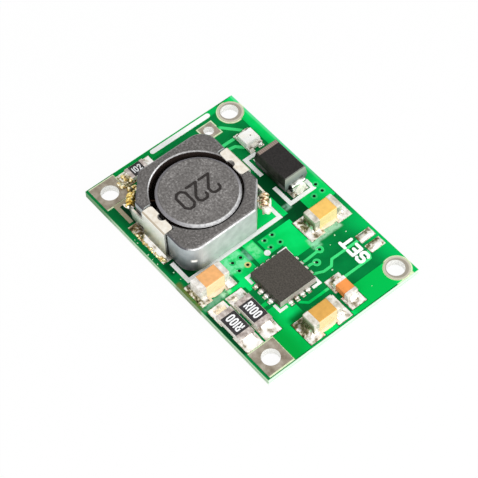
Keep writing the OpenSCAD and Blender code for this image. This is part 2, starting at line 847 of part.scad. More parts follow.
module drum_core() {
    r = drum_d / 2;
    color(ferrite_grey)
        on_inductor()
            translate([drum_shift[0], drum_shift[1], shield_z])
                rotate_extrude($fn = 96)
                    polygon([
                        [0, 0], [r - drum_bevel, 0], [r, drum_bevel], [r, flange_t], [post_d / 2, flange_t],
                        [post_d / 2, drum_h - flange_t], [r, drum_h - flange_t], [r, drum_h - drum_bevel],
                        [r - 1.4 * drum_bevel, drum_h], [0, drum_h]
                    ]);
}

module coil_winding() {
    room = drum_h - 2 * flange_t;
    pitch = room / coil_rows;
    color(copper_red)
        on_inductor()
            translate([drum_shift[0], drum_shift[1], shield_z + flange_t])
                rotate_extrude($fn = 96) {
                    translate([post_d / 2, 0]) square([coil_r - wire_d / 2 - post_d / 2, room]);
                    for (i = [0 : coil_rows - 1])
                        translate([coil_r - wire_d / 2, (i + 0.5) * pitch]) circle(d = min(wire_d, pitch), $fn = 24);
                }
}

// Folded sheet: foot under the drum, upright, plate over the shield, strap and bent forked tail
module clip_shape() {
    plate_z = shield_z + shield_h - plate_sink;
    bend = 1.3 * clip_t;
    plate_r = 0.3;
    prong = [0.2, 0.42];
    // Foot, upright and plate as one bent profile
    difference() {
        translate([clip_offset, 0, 0])
            rotate([90, 0, 90])
                linear_extrude(clip_w, center = true)
                    difference() {
                        union() {
                            translate([-clip_face_y, land_z]) square([clip_foot, plate_z - land_z - bend]);
                            translate([-clip_face_y + bend, land_z]) square([clip_foot - bend, plate_z - land_z]);
                            translate([-clip_face_y + bend, plate_z - bend]) circle(bend);
                        }
                        translate([-clip_face_y + clip_t, land_z + clip_t])
                            square([clip_foot, plate_z - land_z - 2 * clip_t]);
                        translate([-clip_face_y + clip_reach, land_z + clip_t])
                            square([clip_foot, plate_z - land_z]);
                    }
        translate([clip_offset, -clip_face_y + clip_reach, shield_z + clip_t])
            cylinder(r = clip_notch_r, h = shield_h + past);
        // Round inner corners of the plate
        for (side = [0, 1])
            translate([clip_offset, -clip_face_y + clip_reach - plate_r, shield_z + clip_t])
                mirror([side, 0, 0])
                    translate([clip_w / 2 - plate_r, 0, 0])
                        linear_extrude(shield_h + past)
                            difference() {
                                square(plate_r + past);
                                circle(plate_r);
                            }
    }
    // Strap at the upright's side, in the upright's plane
    root_x = clip_offset - clip_w / 2 + clip_t;
    tail_low = tail_mid - tail_h / 2;
    translate([0, -clip_face_y + clip_t, 0])
        rotate([90, 0, 0])
            linear_extrude(clip_t)
                polygon([
                    [root_x, strap_z], [-strap_end, strap_z - strap_drop], [-strap_end - 0.3, strap_z - strap_drop],
                    [-bend_x, tail_low], [-bend_x, tail_low + tail_h], [root_x, strap_z + strap_h]
                ]);
    translate([-bend_x, strap_y, tail_low]) cylinder(d = clip_t, h = tail_h);
    // Tail with a forked end, along the cut corner
    on_cut()
        translate([tail_out + clip_t / 2, 0, 0])
            rotate([90, 0, -90])
                linear_extrude(clip_t) {
                    patch([-bend_y, tail_low], [-tail_end, tail_low + tail_h]);
                    for (side = [-1, 1])
                        stroke([[-tail_end, tail_mid], [-tail_end + prong[0], tail_mid + side * prong[1]]], 0.2);
                }
}

module front_clip() color(sheet_tin) on_inductor() clip_shape();
module back_clip() color(sheet_tin) on_inductor(180) clip_shape();

// Turns of wire round the tail, leaning to and fro, and the run in to the coil
module wire_end_shape() {
    on_cut()
        translate([tail_out, 0, tail_mid]) {
            for (i = [0 : tail_turns - 1])
                translate([0, first_wrap - i * wrap_pitch, 0])
                    rotate([90, 0, i % 2 == 0 ? wrap_lean : -wrap_lean])
                        rotate_extrude($fn = 24) translate([wrap_r, 0]) circle(d = wire_d, $fn = 14);
            translate([-wrap_r, run_y, 0])
                rotate([0, -90, 0]) cylinder(d = 0.9 * wire_d, h = tail_out - wrap_r - run_end, $fn = 24);
        }
}

module front_wire_end() color(copper_red) on_inductor() wire_end_shape();
module back_wire_end() color(copper_red) on_inductor(180) wire_end_shape();

module inductor_solder() {
    run = inductor_land_out - solder_rim;
    color(solder_grey)
        for (turn = [0, 180])
            on_inductor(turn)
                translate([clip_offset, -clip_face_y, land_z])
                    rotate(-90)
                        solder_bank(0, run, run, clip_w, clip_w + 0.58);
}

// Diode

module on_diode(turn = 0) {
    translate([diode_at[0], diode_at[1], 0]) rotate(turn) children();
}

// Bent lead, from inside the body down and back under it
module diode_lead_shape() {
    out = diode_span / 2;
    top = diode_z + diode_waist + diode_lead_t / 2;
    grip = 0.6;
    bend = 1.5 * diode_lead_t;
    rotate([90, 0, 0])
        linear_extrude(diode_lead_w, center = true)
            difference() {
                union() {
                    translate([out - diode_foot, land_z]) square([diode_foot - bend, top - land_z]);
                    translate([out - bend, land_z + bend]) square([bend, top - land_z - 2 * bend]);
                    for (z = [land_z + bend, top - bend])
                        translate([out - bend, z]) circle(bend);
                }
                translate([0, land_z + diode_lead_t])
                    square([out - diode_lead_t, top - land_z - 2 * diode_lead_t]);
                translate([0, top - diode_lead_t - past])
                    square([diode_l / 2 - grip, diode_lead_t + 2 * past]);
            }
}

module diode_body() {
    top_l = diode_l - 2 * diode_draft;
    top_w = diode_w - 2 * diode_draft;
    ease = 0.08;
    color(mould_black)
        difference() {
            on_diode()
                translate([0, 0, diode_z])
                    hull() {
                        translate([0, 0, diode_waist]) cube([diode_l, diode_w, 0.02], center = true);
                        for (inset = [[0, ease], [ease, 0]])
                            translate([0, 0, diode_h / 2])
                                cube([top_l - 2 * inset[0], top_w - 2 * inset[0], diode_h - 2 * inset[1]],
                                    center = true);
                    }
            on_diode() diode_lead_shape();
            on_diode(180) diode_lead_shape();
        }
}

module cathode_lead() color(sheet_tin) on_diode(180) diode_lead_shape();
module anode_lead() color(sheet_tin) on_diode() diode_lead_shape();

module diode_solder() {
    run = diode_land_out - solder_rim;
    bend = 1.5 * diode_lead_t;
    color(solder_grey)
        for (turn = [0, 180])
            on_diode(turn)
                difference() {
                    translate([diode_span / 2, 0, land_z])
                        solder_bank(bend, run, run + solder_film, diode_lead_w - 0.3,
                            diode_land_w - 2 * solder_rim);
                    diode_lead_shape();
                }
}

// Controller

module on_controller() {
    translate([controller_at[0], controller_at[1], land_z]) children();
}

module lead_blocks() {
    for (turn = [0 : 90 : 270], y = lead_row)
        rotate(turn)
            translate([controller_s / 2 - lead_l, y - lead_w / 2, 0]) cube([lead_l, lead_w, lead_t]);
}

module heat_pad_block() {
    translate([0, 0, lead_t / 2]) cube([heat_pad_s, heat_pad_s, lead_t], center = true);
}

module controller_body() {
    color(mould_black)
        on_controller()
            difference() {
                translate([0, 0, controller_h / 2]) cube([controller_s, controller_s, controller_h], center = true);
                lead_blocks();
                heat_pad_block();
            }
}

module controller_leads() color(end_metal) on_controller() lead_blocks();
module controller_heat_pad() color(end_metal) on_controller() heat_pad_block();

module controller_solder() {
    bead_r = 0.27;
    color(solder_grey)
        on_controller()
            for (turn = [0 : 90 : 270], y = lead_row)
                rotate(turn)
                    translate([controller_s / 2, y, 0])
                        intersection() {
                            translate([lead_land_out - bead_r - solder_rim, 0, 0]) sphere(bead_r, $fn = 32);
                            translate([0, -past, 0]) cube([past, 2 * past, past]);
                        }
}

// Indicator

module on_led() {
    translate([led_at[0], led_at[1], land_z]) children();
}

module led_corner_blocks() {
    for (x = [-1, 1], y = [-1, 1])
        translate([x * (led_l - led_term_l) / 2, y * (led_w - led_term_w) / 2, led_base_h / 2])
            cube([led_term_l, led_term_w, led_base_h], center = true);
}

module led_base() {
    color(alumina_white)
        on_led()
            difference() {
                translate([0, 0, led_base_h / 2]) cube([led_l, led_w, led_base_h], center = true);
                led_corner_blocks();
            }
}

module led_terminals() {
    notch_r = 0.2;
    color(end_metal)
        on_led()
            difference() {
                led_corner_blocks();
                for (x = [-1, 1], y = [-1, 1])
                    translate([x * led_l / 2, y * (led_w - led_term_w) / 2, -past])
                        cylinder(r = notch_r, h = led_base_h + 2 * past);
            }
}

module die_blocks() {
    die_h = 0.14;
    for (y = [-1, 1])
        translate([0, y * led_w / 5, led_base_h + die_h / 2]) cube([led_die, led_die, die_h], center = true);
}

module led_dies() color("gold") on_led() die_blocks();

module led_lens() {
    color(lens_cream)
        on_led()
            difference() {
                translate([0, 0, led_base_h])
                    hull() {
                        linear_extrude(led_lens_h / 2) square([led_lens_l, led_w], center = true);
                        linear_extrude(led_lens_h)
                            square([led_lens_l - 2 * led_draft, led_w - 2 * led_draft], center = true);
                    }
                die_blocks();
            }
}

module led_solder() {
    bead_r = 0.3;
    color(solder_grey)
        on_led()
            for (x = [-1, 1], y = [-1, 1])
                intersection() {
                    translate([x * (led_l / 2 + led_land_out - bead_r - solder_rim / 2), y * (led_w - led_term_w) / 2, 0])
                        sphere(bead_r, $fn = 32);
                    translate([x * (led_l + past) / 2, 0, past / 2]) cube([past, led_w + past, past], center = true);
                }
}

// Chip parts, each with its length along its own X

module on_chip(chip) {
    translate([chip[0][0], chip[0][1], land_z]) rotate(chip[1]) children();
}

module ceramic_block(chip) {
    translate([0, 0, end_t])
        soft_block(chip[2] - 2 * end_t, chip[3] - 2 * end_t, chip[4] - 2 * end_t, chip_ease);
}

module cap_body(chip, tint) {
    color(tint) on_chip(chip) ceramic_block(chip);
}

module cap_ends(chip) {
    color(end_metal)
        on_chip(chip)
            difference() {
                soft_block(chip[2], chip[3], chip[4], chip_ease + end_t);
                ceramic_block(chip);
                translate([0, 0, chip[4] / 2])
                    cube([chip[2] - 2 * chip[5], chip[3] + past, chip[4] + past], center = true);
            }
}

module plate_block(chip) {
    translate([0, 0, chip[4] / 2])
        cube([chip[2] - 2 * end_t, chip[3], chip[4] - 2 * end_t], center = true);
}

module res_plate(chip) {
    color(alumina_white) on_chip(chip) plate_block(chip);
}

module res_coat(chip) {
    color(mould_black)
        on_chip(chip)
            translate([0, 0, chip[4] - end_t])
                soft_block(chip[2] - 2 * chip[5] + 0.1, chip[3] - 2 * end_t, coat_t, coat_t / 2);
}

module res_ends(chip) {
    color(end_metal)
        on_chip(chip)
            difference() {
                translate([0, 0, chip[4] / 2]) cube([chip[2], chip[3], chip[4]], center = true);
                plate_block(chip);
                translate([0, 0, chip[4] / 2])
                    cube([chip[2] - 2 * chip[5] + 0.1, chip[3] + past, chip[4] + past], center = true);
            }
}

// Solder at both ends of a chip, round three sides of each metal end
module chip_solder(site) {
    chip = site[0];
    run = (site[1] - chip[2]) / 2 - solder_rim;
    core_w = chip[3] - 0.6;
    color(solder_grey)
        on_chip(chip)
            for (turn = [0, 180])
                rotate(turn)
                    difference() {
                        translate([chip[2] / 2, 0, 0])
                            solder_bank(chip[5], run, site[3], core_w, site[2] - 2 * solder_rim);
                        translate([0, 0, chip[4] / 2]) cube([chip[2], chip[3], chip[4] + past], center = true);
                    }
}

module upper_capacitor_body() cap_body(upper_cap, ceramic_tan);
module upper_capacitor_ends() cap_ends(upper_cap);
module right_capacitor_body() cap_body(right_cap, ceramic_tan);
module right_capacitor_ends() cap_ends(right_cap);
module lower_capacitor_body() cap_body(lower_cap, ceramic_orange);
module lower_capacitor_ends() cap_ends(lower_cap);
module small_capacitor_body() cap_body(small_cap, ceramic_orange);
module small_capacitor_ends() cap_ends(small_cap);

module capacitor_solder() {
    for (site = cap_sites)
        chip_solder(site);
}

module sense_upper_plate() res_plate(sense_upper);
module sense_upper_coat() res_coat(sense_upper);
module sense_upper_ends() res_ends(sense_upper);
module sense_lower_plate() res_plate(sense_lower);
module sense_lower_coat() res_coat(sense_lower);
module sense_lower_ends() res_ends(sense_lower);
module led_resistor_plate() res_plate(led_res);
module led_resistor_coat() res_coat(led_res);
module led_resistor_ends() res_ends(led_res);

module resistor_solder() {
    for (site = res_sites)
        chip_solder(site);
}

circuit_board();
top_copper();
component_outlines();
solder_lands();
via_barrels();
round_pad_left();
round_pad_right();
square_pad_left();
square_pad_right();
small_wire_pad();
jumper_solder();
shield_core();
drum_core();
coil_winding();
front_clip();
back_clip();
front_wire_end();
back_wire_end();
inductor_solder();
diode_body();
cathode_lead();
anode_lead();
diode_solder();
controller_body();
controller_leads();
controller_heat_pad();
controller_solder();
led_base();
led_terminals();
led_dies();
led_lens();
led_solder();
upper_capacitor_body();
upper_capacitor_ends();
right_capacitor_body();
right_capacitor_ends();
lower_capacitor_body();
lower_capacitor_ends();
small_capacitor_body();
small_capacitor_ends();
capacitor_solder();
sense_upper_plate();
sense_upper_coat();
sense_upper_ends();
sense_lower_plate();
sense_lower_coat();
sense_lower_ends();
led_resistor_plate();
led_resistor_coat();
led_resistor_ends();
resistor_solder();
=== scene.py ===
# %% [markdown]
# The imported solids come first. Every piece of this charger module is already there as a solid:
# the board, its copper and lands, the inductor, the diode, the controller and the chip parts.
# They could be modelled again here, but looks and solids would soon drift apart. So this script
# gives each solid its finish, and adds only what is too fine for solids: the printed figures, the
# beads and skirts of flux, some of them partly painted highlights, and the drops of solder. The
# box of the solids is measured first.

# %% Load the solids
import math

import bmesh
import bpy
from mathutils import Matrix, Vector
from mathutils import noise as ripple


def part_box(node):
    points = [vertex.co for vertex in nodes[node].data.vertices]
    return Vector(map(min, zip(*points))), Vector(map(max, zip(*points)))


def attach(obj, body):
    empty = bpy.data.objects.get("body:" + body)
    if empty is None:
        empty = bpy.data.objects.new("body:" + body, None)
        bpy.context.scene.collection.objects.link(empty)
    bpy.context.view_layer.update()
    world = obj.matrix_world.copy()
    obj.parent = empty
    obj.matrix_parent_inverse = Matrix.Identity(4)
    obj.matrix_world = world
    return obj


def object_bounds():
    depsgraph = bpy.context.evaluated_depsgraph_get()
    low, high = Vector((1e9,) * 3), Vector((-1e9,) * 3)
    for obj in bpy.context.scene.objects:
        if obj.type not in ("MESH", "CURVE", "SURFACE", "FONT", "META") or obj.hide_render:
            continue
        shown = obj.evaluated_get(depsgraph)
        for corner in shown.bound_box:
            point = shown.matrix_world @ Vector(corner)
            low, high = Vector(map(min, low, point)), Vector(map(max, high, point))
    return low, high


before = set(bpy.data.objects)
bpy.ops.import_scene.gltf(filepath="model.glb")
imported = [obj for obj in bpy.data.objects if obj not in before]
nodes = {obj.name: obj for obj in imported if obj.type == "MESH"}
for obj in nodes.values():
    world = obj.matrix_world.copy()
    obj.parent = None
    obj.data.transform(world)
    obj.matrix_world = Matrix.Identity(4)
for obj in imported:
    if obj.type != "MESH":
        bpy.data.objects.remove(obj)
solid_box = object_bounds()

MM = 0.001
solid_size = [round((b - a) / MM, 2) for a, b in zip(*solid_box)]
print(len(nodes), "solids, box in mm:", solid_size)

# %% [markdown]
# The camera stands where the photo was taken from: about 16 cm away, 56 degrees up, on the side of
# the square wire pads. A long lens keeps the far corner nearly as large as the near one. The
# angles could come from a Track To constraint, but the photo leans a little to one side, and three
# plain turns hold that lean too.

# %% Camera
CAMERA_PLACE = (70.50 * MM, -54.51 * MM, 129.79 * MM)
CAMERA_TURNS = (34.325, 1.641, 50.475)
LENS_MM = 133.7
SENSOR_MM = 36.0
CLIP_START, CLIP_END = 0.005, 5.0

lens = bpy.data.cameras.new("camera")
lens.lens = LENS_MM
lens.sensor_width = SENSOR_MM
lens.clip_start = CLIP_START
lens.clip_end = CLIP_END
camera = bpy.data.objects.new("camera", lens)
camera.location = CAMERA_PLACE
camera.rotation_euler = [math.radians(turn) for turn in CAMERA_TURNS]
bpy.context.scene.collection.objects.link(camera)
bpy.context.scene.camera = camera
print("camera", [round(c / MM, 1) for c in camera.location], "mm, lens", lens.lens)

# %% [markdown]
# The photo shows the part on white. Lamps alone would need a lot of power to make the ground white,
# and would bleach the part. So the world is pure white only to the camera, to reflections, which
# tinned metal needs, and to what shows through clear resin. The light that falls on the part stays
# at a plain level.

# %% World
WHITE = (1.0, 1.0, 1.0, 1.0)
SHOWN_WHITE = 1.0
SOFT_LIGHT = 0.77


def seen_directly(tree):
    """One for camera, glossy and transmission rays, nought for the light that falls on the part."""
    path = tree.nodes.new("ShaderNodeLightPath")
    total = path.outputs["Is Camera Ray"]
    for ray in ("Is Glossy Ray", "Is Transmission Ray"):
        larger = tree.nodes.new("ShaderNodeMath")
        larger.operation = "MAXIMUM"
        tree.links.new(total, larger.inputs[0])
        tree.links.new(path.outputs[ray], larger.inputs[1])
        total = larger.outputs[0]
    return total


def mix_shaders(tree, factor, first, second, output):
    """Sends one shader or the other to an output node, by a factor."""
    blend = tree.nodes.new("ShaderNodeMixShader")
    tree.links.new(factor, blend.inputs[0])
    tree.links.new(first.outputs[0], blend.inputs[1])
    tree.links.new(second.outputs[0], blend.inputs[2])
    tree.links.new(blend.outputs[0], tree.nodes[output].inputs["Surface"])


world = bpy.data.worlds.new("studio")
bpy.context.scene.world = world
world.use_nodes = True
sky = world.node_tree
soft_sky = sky.nodes["Background"]
soft_sky.inputs["Color"].default_value = WHITE
soft_sky.inputs["Strength"].default_value = SOFT_LIGHT
white_sky = sky.nodes.new("ShaderNodeBackground")
white_sky.inputs["Color"].default_value = WHITE
white_sky.inputs["Strength"].default_value = SHOWN_WHITE
mix_shaders(sky, seen_directly(sky), soft_sky, white_sky, "World Output")
bpy.context.scene.view_settings.view_transform = "Standard"
print("world: soft light", SOFT_LIGHT, "and a white of", SHOWN_WHITE)

# %% [markdown]
# Under the board lies pale paper. A shadow catcher would need a second step to put white behind the
# picture. So the paper glows white to the camera, as the world does, and keeps a small share of a
# matt shader, which takes real light: in that share the board's soft shadow shows. The floor isn't
# part of the module.

# %% Floor
FLOOR_SIZE = 0.8
FLOOR_DROP_MM = 0.02
FLOOR_GLOW = 0.96
FLOOR_GREY = (0.86, 0.86, 0.86, 1.0)
FLOOR_ROUGHNESS = 0.9

floor_mesh = bpy.data.meshes.new("floor")
bm = bmesh.new()
bmesh.ops.create_grid(bm, x_segments=1, y_segments=1, size=FLOOR_SIZE / 2)
bmesh.ops.translate(bm, verts=bm.verts, vec=(0, 0, -FLOOR_DROP_MM * MM))
bm.to_mesh(floor_mesh)
bm.free()
floor = bpy.data.objects.new("floor", floor_mesh)
bpy.context.scene.collection.objects.link(floor)
paper = bpy.data.materials.new("floor_paper")
paper.use_nodes = True
sheet = paper.node_tree
matt = sheet.nodes["Principled BSDF"]
matt.inputs["Base Color"].default_value = FLOOR_GREY
matt.inputs["Roughness"].default_value = FLOOR_ROUGHNESS
glow = sheet.nodes.new("ShaderNodeEmission")
glow.inputs["Color"].default_value = WHITE
glow.inputs["Strength"].default_value = SHOWN_WHITE
share = sheet.nodes.new("ShaderNodeMath")
share.operation = "MULTIPLY"
share.inputs[1].default_value = FLOOR_GLOW
sheet.links.new(seen_directly(sheet), share.inputs[0])
mix_shaders(sheet, share.outputs[0], matt, glow, "Material Output")
floor.data.materials.append(paper)
print("floor", FLOOR_SIZE, "m wide,", FLOOR_DROP_MM, "mm under the board")

# %% [markdown]
# Two area lamps do the rest. The strong one stands low on the right: it whitens the right faces of
# the chips and flashes on the bevels of the ferrite, as in the photo. The weak one in front keeps
# the faces towards the square pads readable. Point lamps would give hard shadows. An area lamp's
# power is spread over its face, so on a part this small less than a watt is enough.

# %% Lamps
# The finishes add painted light on the faces towards the key lamp and painted highlights on the
# ferrite's bevels.
LAMP_SIZE = 0.20
KEY_PLACE, KEY_POWER = (0.255, 0.03, 0.14), 0.58
FILL_PLACE, FILL_POWER = (0.05, -0.28, 0.17), 0.18


def lamp(name, place, power):
    """A square area lamp at a place in metres, turned towards the part."""
    light = bpy.data.lights.new(name, "AREA")
    light.shape = "SQUARE"
    light.size = LAMP_SIZE
    light.energy = power
    holder = bpy.data.objects.new(name, light)
    holder.location = place
    holder.rotation_euler = (-Vector(place)).to_track_quat("-Z", "Y").to_euler()
    bpy.context.scene.collection.objects.link(holder)
    return holder


key = lamp("key_light", KEY_PLACE, KEY_POWER)
fill = lamp("fill_light", FILL_PLACE, FILL_POWER)
print("lamps:", round(key.data.energy, 2), "W and", round(fill.data.energy, 2), "W")

# %% [markdown]
# Every finish is one Principled shader. Its colours are written as they look on screen, from 0 to
# 255, because the eye judges them so, and a helper turns them into linear light, in which the
# shader works. What holds all over a surface, such as its roughness, is set on the shader's own
# socket, where an export finds it.

# %% Screen colours and shaders
COAT_ROUGHNESS = 0.12


def tone(red, green, blue):
    """A screen colour, 0 to 255, as linear light, by the sRGB curve."""
    parts = []
    for value in (red, green, blue):
        v = value / 255.0
        parts.append(v / 12.92 if v <= 0.04045 else ((v + 0.055) / 1.055) ** 2.4)
    return (*parts, 1.0)


def new_finish(name, roughness, metallic=0.0, coat=0.0, gloss=0.3):
    """A material with one Principled shader; gloss is its specular level."""
    material = bpy.data.materials.new(name)
    material.use_nodes = True
    tree = material.node_tree
    shader = tree.nodes["Principled BSDF"]
    shader.inputs["Roughness"].default_value = roughness
    shader.inputs["Metallic"].default_value = metallic
    shader.inputs["Specular IOR Level"].default_value = gloss
    shader.inputs["Coat Weight"].default_value = coat
    shader.inputs["Coat Roughness"].default_value = COAT_ROUGHNESS
    return material, tree, shader


print("a screen grey of 128 is", round(tone(128, 128, 128)[0], 3), "in light")

# %% [markdown]
# No surface on the real module is one even colour. Noise could come from an image, but an image
# needs a UV map. A noise texture on Object coordinates needs none, and stays put on the piece. A
# ramp turns the noise into tones, and a bump node turns a finer one into small unevenness.

# %% Noise, tones and bumps


def noise(tree, grain_mm, detail=3.0, rough=0.55, stretch=None):
    """Noise on the piece's own coordinates, with blotches of about the given size."""
    place = tree.nodes.new("ShaderNodeTexCoord").outputs["Object"]
    if stretch:
        drawn = tree.nodes.new("ShaderNodeMapping")
        drawn.inputs["Scale"].default_value = stretch
        tree.links.new(place, drawn.inputs["Vector"])
        place = drawn.outputs[0]
    texture = tree.nodes.new("ShaderNodeTexNoise")
    texture.inputs["Scale"].default_value = 1.0 / (grain_mm * MM)
    texture.inputs["Detail"].default_value = detail
    texture.inputs["Roughness"].default_value = rough
    tree.links.new(place, texture.inputs["Vector"])
    return texture.outputs[0]


def ramp(tree, factor, *stops):
    """Colours along a factor: stops are pairs of position and screen colour."""
    node = tree.nodes.new("ShaderNodeValToRGB")
    marks = node.color_ramp.elements
    while len(marks) < len(stops):
        marks.new(0.5)
    for mark, (position, colour) in zip(marks, stops):
        mark.position = position
        mark.color = tone(*colour)
    tree.links.new(factor, node.inputs[0])
    return node.outputs[0]


def bumps(tree, shader, height, depth_mm):
    """Small bumps from a height."""
    node = tree.nodes.new("ShaderNodeBump")
    node.inputs["Distance"].default_value = depth_mm * MM
    tree.links.new(height, node.inputs["Height"])
    tree.links.new(node.outputs[0], shader.inputs["Normal"])


print("blotches of half a millimetre are a noise of scale", round(1.0 / (0.5 * MM)))

# %% [markdown]
# Most finishes end the same way: a colour goes to the shader, and a fine noise gives the bumps. The
# plainest, such as a plating or a coat, are no more than tones along one noise. Two helpers hold
# that, and a third puts a finish on the solids, which keep their meshes as they are.

# %% The usual finish


def paint(tree, shader, colour, bump_grain, bump_mm, detail=2.0):
    """Gives the shader its colour, and bumps of a size and a depth in millimetres."""
    tree.links.new(colour, shader.inputs["Base Color"])
    bumps(tree, shader, noise(tree, bump_grain, detail), bump_mm)


def mottled(name, stops, grain_mm, roughness, bump_mm, bump_grain, **more):
    """The usual finish: tones along a noise, and fine bumps."""
    material, tree, shader = new_finish(name, roughness, **more)
    paint(tree, shader, ramp(tree, noise(tree, grain_mm), *stops), bump_grain, bump_mm)
    return material


def dress(material, *names):
    """Puts a finish on CAD nodes, in every slot that they have."""
    for name in names:
        slots = nodes[name].data.materials
        if not slots:
            slots.append(material)
        for i in range(len(slots)):
            slots[i] = material


print("solids to dress:", len(nodes))

# %% [markdown]
# Many finishes change from place to place: a rim of bare laminate round a pad, a haze of flux
# beside a chip, a darker foot on a side. Painted spots would need a UV map and an image. Here they
# come from sums on two measures that every surface has: where a point lies, in millimetres, and
# which way its face looks.

# %% Measures of a surface


def math_node(tree, operation, first, second=None):
    """A Math node on outputs or plain numbers."""
    node = tree.nodes.new("ShaderNodeMath")
    node.operation = operation
    for socket, value in zip(node.inputs, (first, second)):
        if isinstance(value, (int, float)):
            socket.default_value = value
        elif value is not None:
            tree.links.new(value, socket)
    return node.outputs[0]


def both(tree, first, *others):
    """The product of masks and strengths: one only where all of them are one."""
    for other in others:
        first = math_node(tree, "MULTIPLY", first, other)
    return first


def place_mm(tree):
    """The three Object coordinates, in millimetres."""
    place = tree.nodes.new("ShaderNodeTexCoord")
    scaled = tree.nodes.new("ShaderNodeVectorMath")
    scaled.operation = "SCALE"
    scaled.inputs["Scale"].default_value = 1.0 / MM
    tree.links.new(place.outputs["Object"], scaled.inputs[0])
    split = tree.nodes.new("ShaderNodeSeparateXYZ")
    tree.links.new(scaled.outputs[0], split.inputs[0])
    return split.outputs[:]


def facing(tree):
    """The three parts of the face's own direction."""
    surface = tree.nodes.new("ShaderNodeNewGeometry")
    split = tree.nodes.new("ShaderNodeSeparateXYZ")
    tree.links.new(surface.outputs["Normal"], split.inputs[0])
    return split.outputs[:]


def box_mm(node):
    """Middle and half size of a node's box, in millimetres."""
    a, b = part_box(node)
    return (a + b) / (2 * MM), (b - a) / (2 * MM)


print("the shield's middle in mm:", [round(v, 2) for v in box_mm("shield_core")[0]])

# %% [markdown]
# Three small masks do the rest: a step along a measure, a soft rectangle and a soft disc on the
# plan. A vertex group could mark such spots too, but only as finely as the mesh has vertices, and
# these solids have few. A mask in the shader is as sharp as one likes.

# %% Soft masks


def step(tree, value, start, end):
    """Nought at start and one at end, with a soft passage between; either may be the larger."""
    node = tree.nodes.new("ShaderNodeMapRange")
    node.interpolation_type = "SMOOTHSTEP"
    tree.links.new(value, node.inputs["Value"])
    node.inputs["From Min"].default_value = start
    node.inputs["From Max"].default_value = end
    return node.outputs["Result"]


def patch(tree, place, low, high, soft):
    """One inside a rectangle on the plan, with soft sides."""
    sides = []
    for axis, a, b in zip(place[:2], low, high):
        off = math_node(tree, "ABSOLUTE", math_node(tree, "SUBTRACT", axis, (a + b) / 2))
        sides.append(step(tree, off, (b - a + soft) / 2, (b - a - soft) / 2))
    return both(tree, *sides)


def disc(tree, place, middle, radius, soft=0.06):
    """One inside a circle on the plan, with a soft edge."""
    squares = []
    for axis, centre in zip(place[:2], middle):
        squares.append(math_node(tree, "POWER", math_node(tree, "SUBTRACT", axis, centre), 2.0))
    away = math_node(tree, "SQRT", math_node(tree, "ADD", *squares))
    return step(tree, away, radius + soft / 2, radius - soft / 2)


def mixed(tree, factor, first, second):
    """One colour or the other, by a factor; a colour is an output or a screen colour."""
    node = tree.nodes.new("ShaderNodeMix")
    node.data_type = "RGBA"
    tree.links.new(factor, node.inputs[0])
    for socket, value in ((node.inputs[6], first), (node.inputs[7], second)):
        if isinstance(value, tuple):
            socket.default_value = tone(*value)
        else:
            tree.links.new(value, socket)
    return node.outputs[2]


print("masks ready: step, patch and disc, all in mm")

# %% [markdown]
# Soldering leaves a haze of dried flux beside some chips, on the board and on the copper alike. It
# could be a thin sheet of its own, but so thin a sheet would flicker against what it lies on. So it
# is only a tone: soft rectangles on the plan, frayed by a noise, mixed into the colour below. One
# function serves the board and the copper.

# %% Flux haze
HAZE_STRENGTH = 0.85
HAZE_GRAIN_MM = 0.5
HAZE_SOFT_MM = 0.3
FLUX_HAZE = (
    ((4.2, 3.0), (5.0, 6.6), (170, 218, 188)),
    ((4.6, 3.0), (5.4, 3.9), (150, 226, 180)),
    ((3.55, -8.3), (4.15, -5.9), (120, 176, 146)),
    ((1.25, -1.5), (2.8, -0.6), (128, 240, 168)),
    ((1.35, -2.1), (2.6, -1.6), (134, 190, 170)),
    ((0.95, -4.3), (2.8, -2.2), (138, 246, 184)),
    ((0.3, -8.6), (3.8, -8.05), (108, 116, 56)),
    ((0.0, 3.8), (0.6, 4.5), (150, 198, 174)),
    ((3.3, -6.2), (4.0, -5.2), (190, 246, 206)),
)


def hazed(tree, place, colour):
    """A colour with the haze of flux over it, in patches that a noise frays."""
    frayed = both(tree, step(tree, noise(tree, HAZE_GRAIN_MM), 0.25, 0.6), HAZE_STRENGTH)
    for near, far, flux in FLUX_HAZE:
        spot = both(tree, patch(tree, place, near, far, HAZE_SOFT_MM), frayed)
        colour = mixed(tree, spot, colour, flux)
    return colour


print(len(FLUX_HAZE), "patches of haze")

# %% [markdown]
# The board is glass cloth in resin under green solder mask. Over bare laminate the mask looks dark.
# One flat green would look like plastic, so a slow noise moves the tone. Painted light makes it
# lighter towards the lamp and at the far end. Painted shade darkens it in strips beside the
# inductor and along the front edge, and makes it nearly black under the drum, where hardly any
# light comes.

# %% Board mask
# Painted shade: soft rectangles on the plan, each with its softness and strength.
SHADES = (
    ((-4.2, 2.9), (2.5, 5.9), 1.2, 0.75),
    ((-2.6, -7.5), (0.7, -6.3), 0.5, 0.8),
    ((-9.5, -7.3), (-7.0, -6.2), 0.5, 0.95),
    ((-10.0, -8.2), (-1.5, -7.0), 1.4, 0.45),
    ((4.4, -8.7), (9.6, -8.0), 0.4, 0.8),
    ((-1.9, -8.2), (-0.6, -7.3), 0.4, 0.7),
)
UNDER_DRUM_MM = 4.6

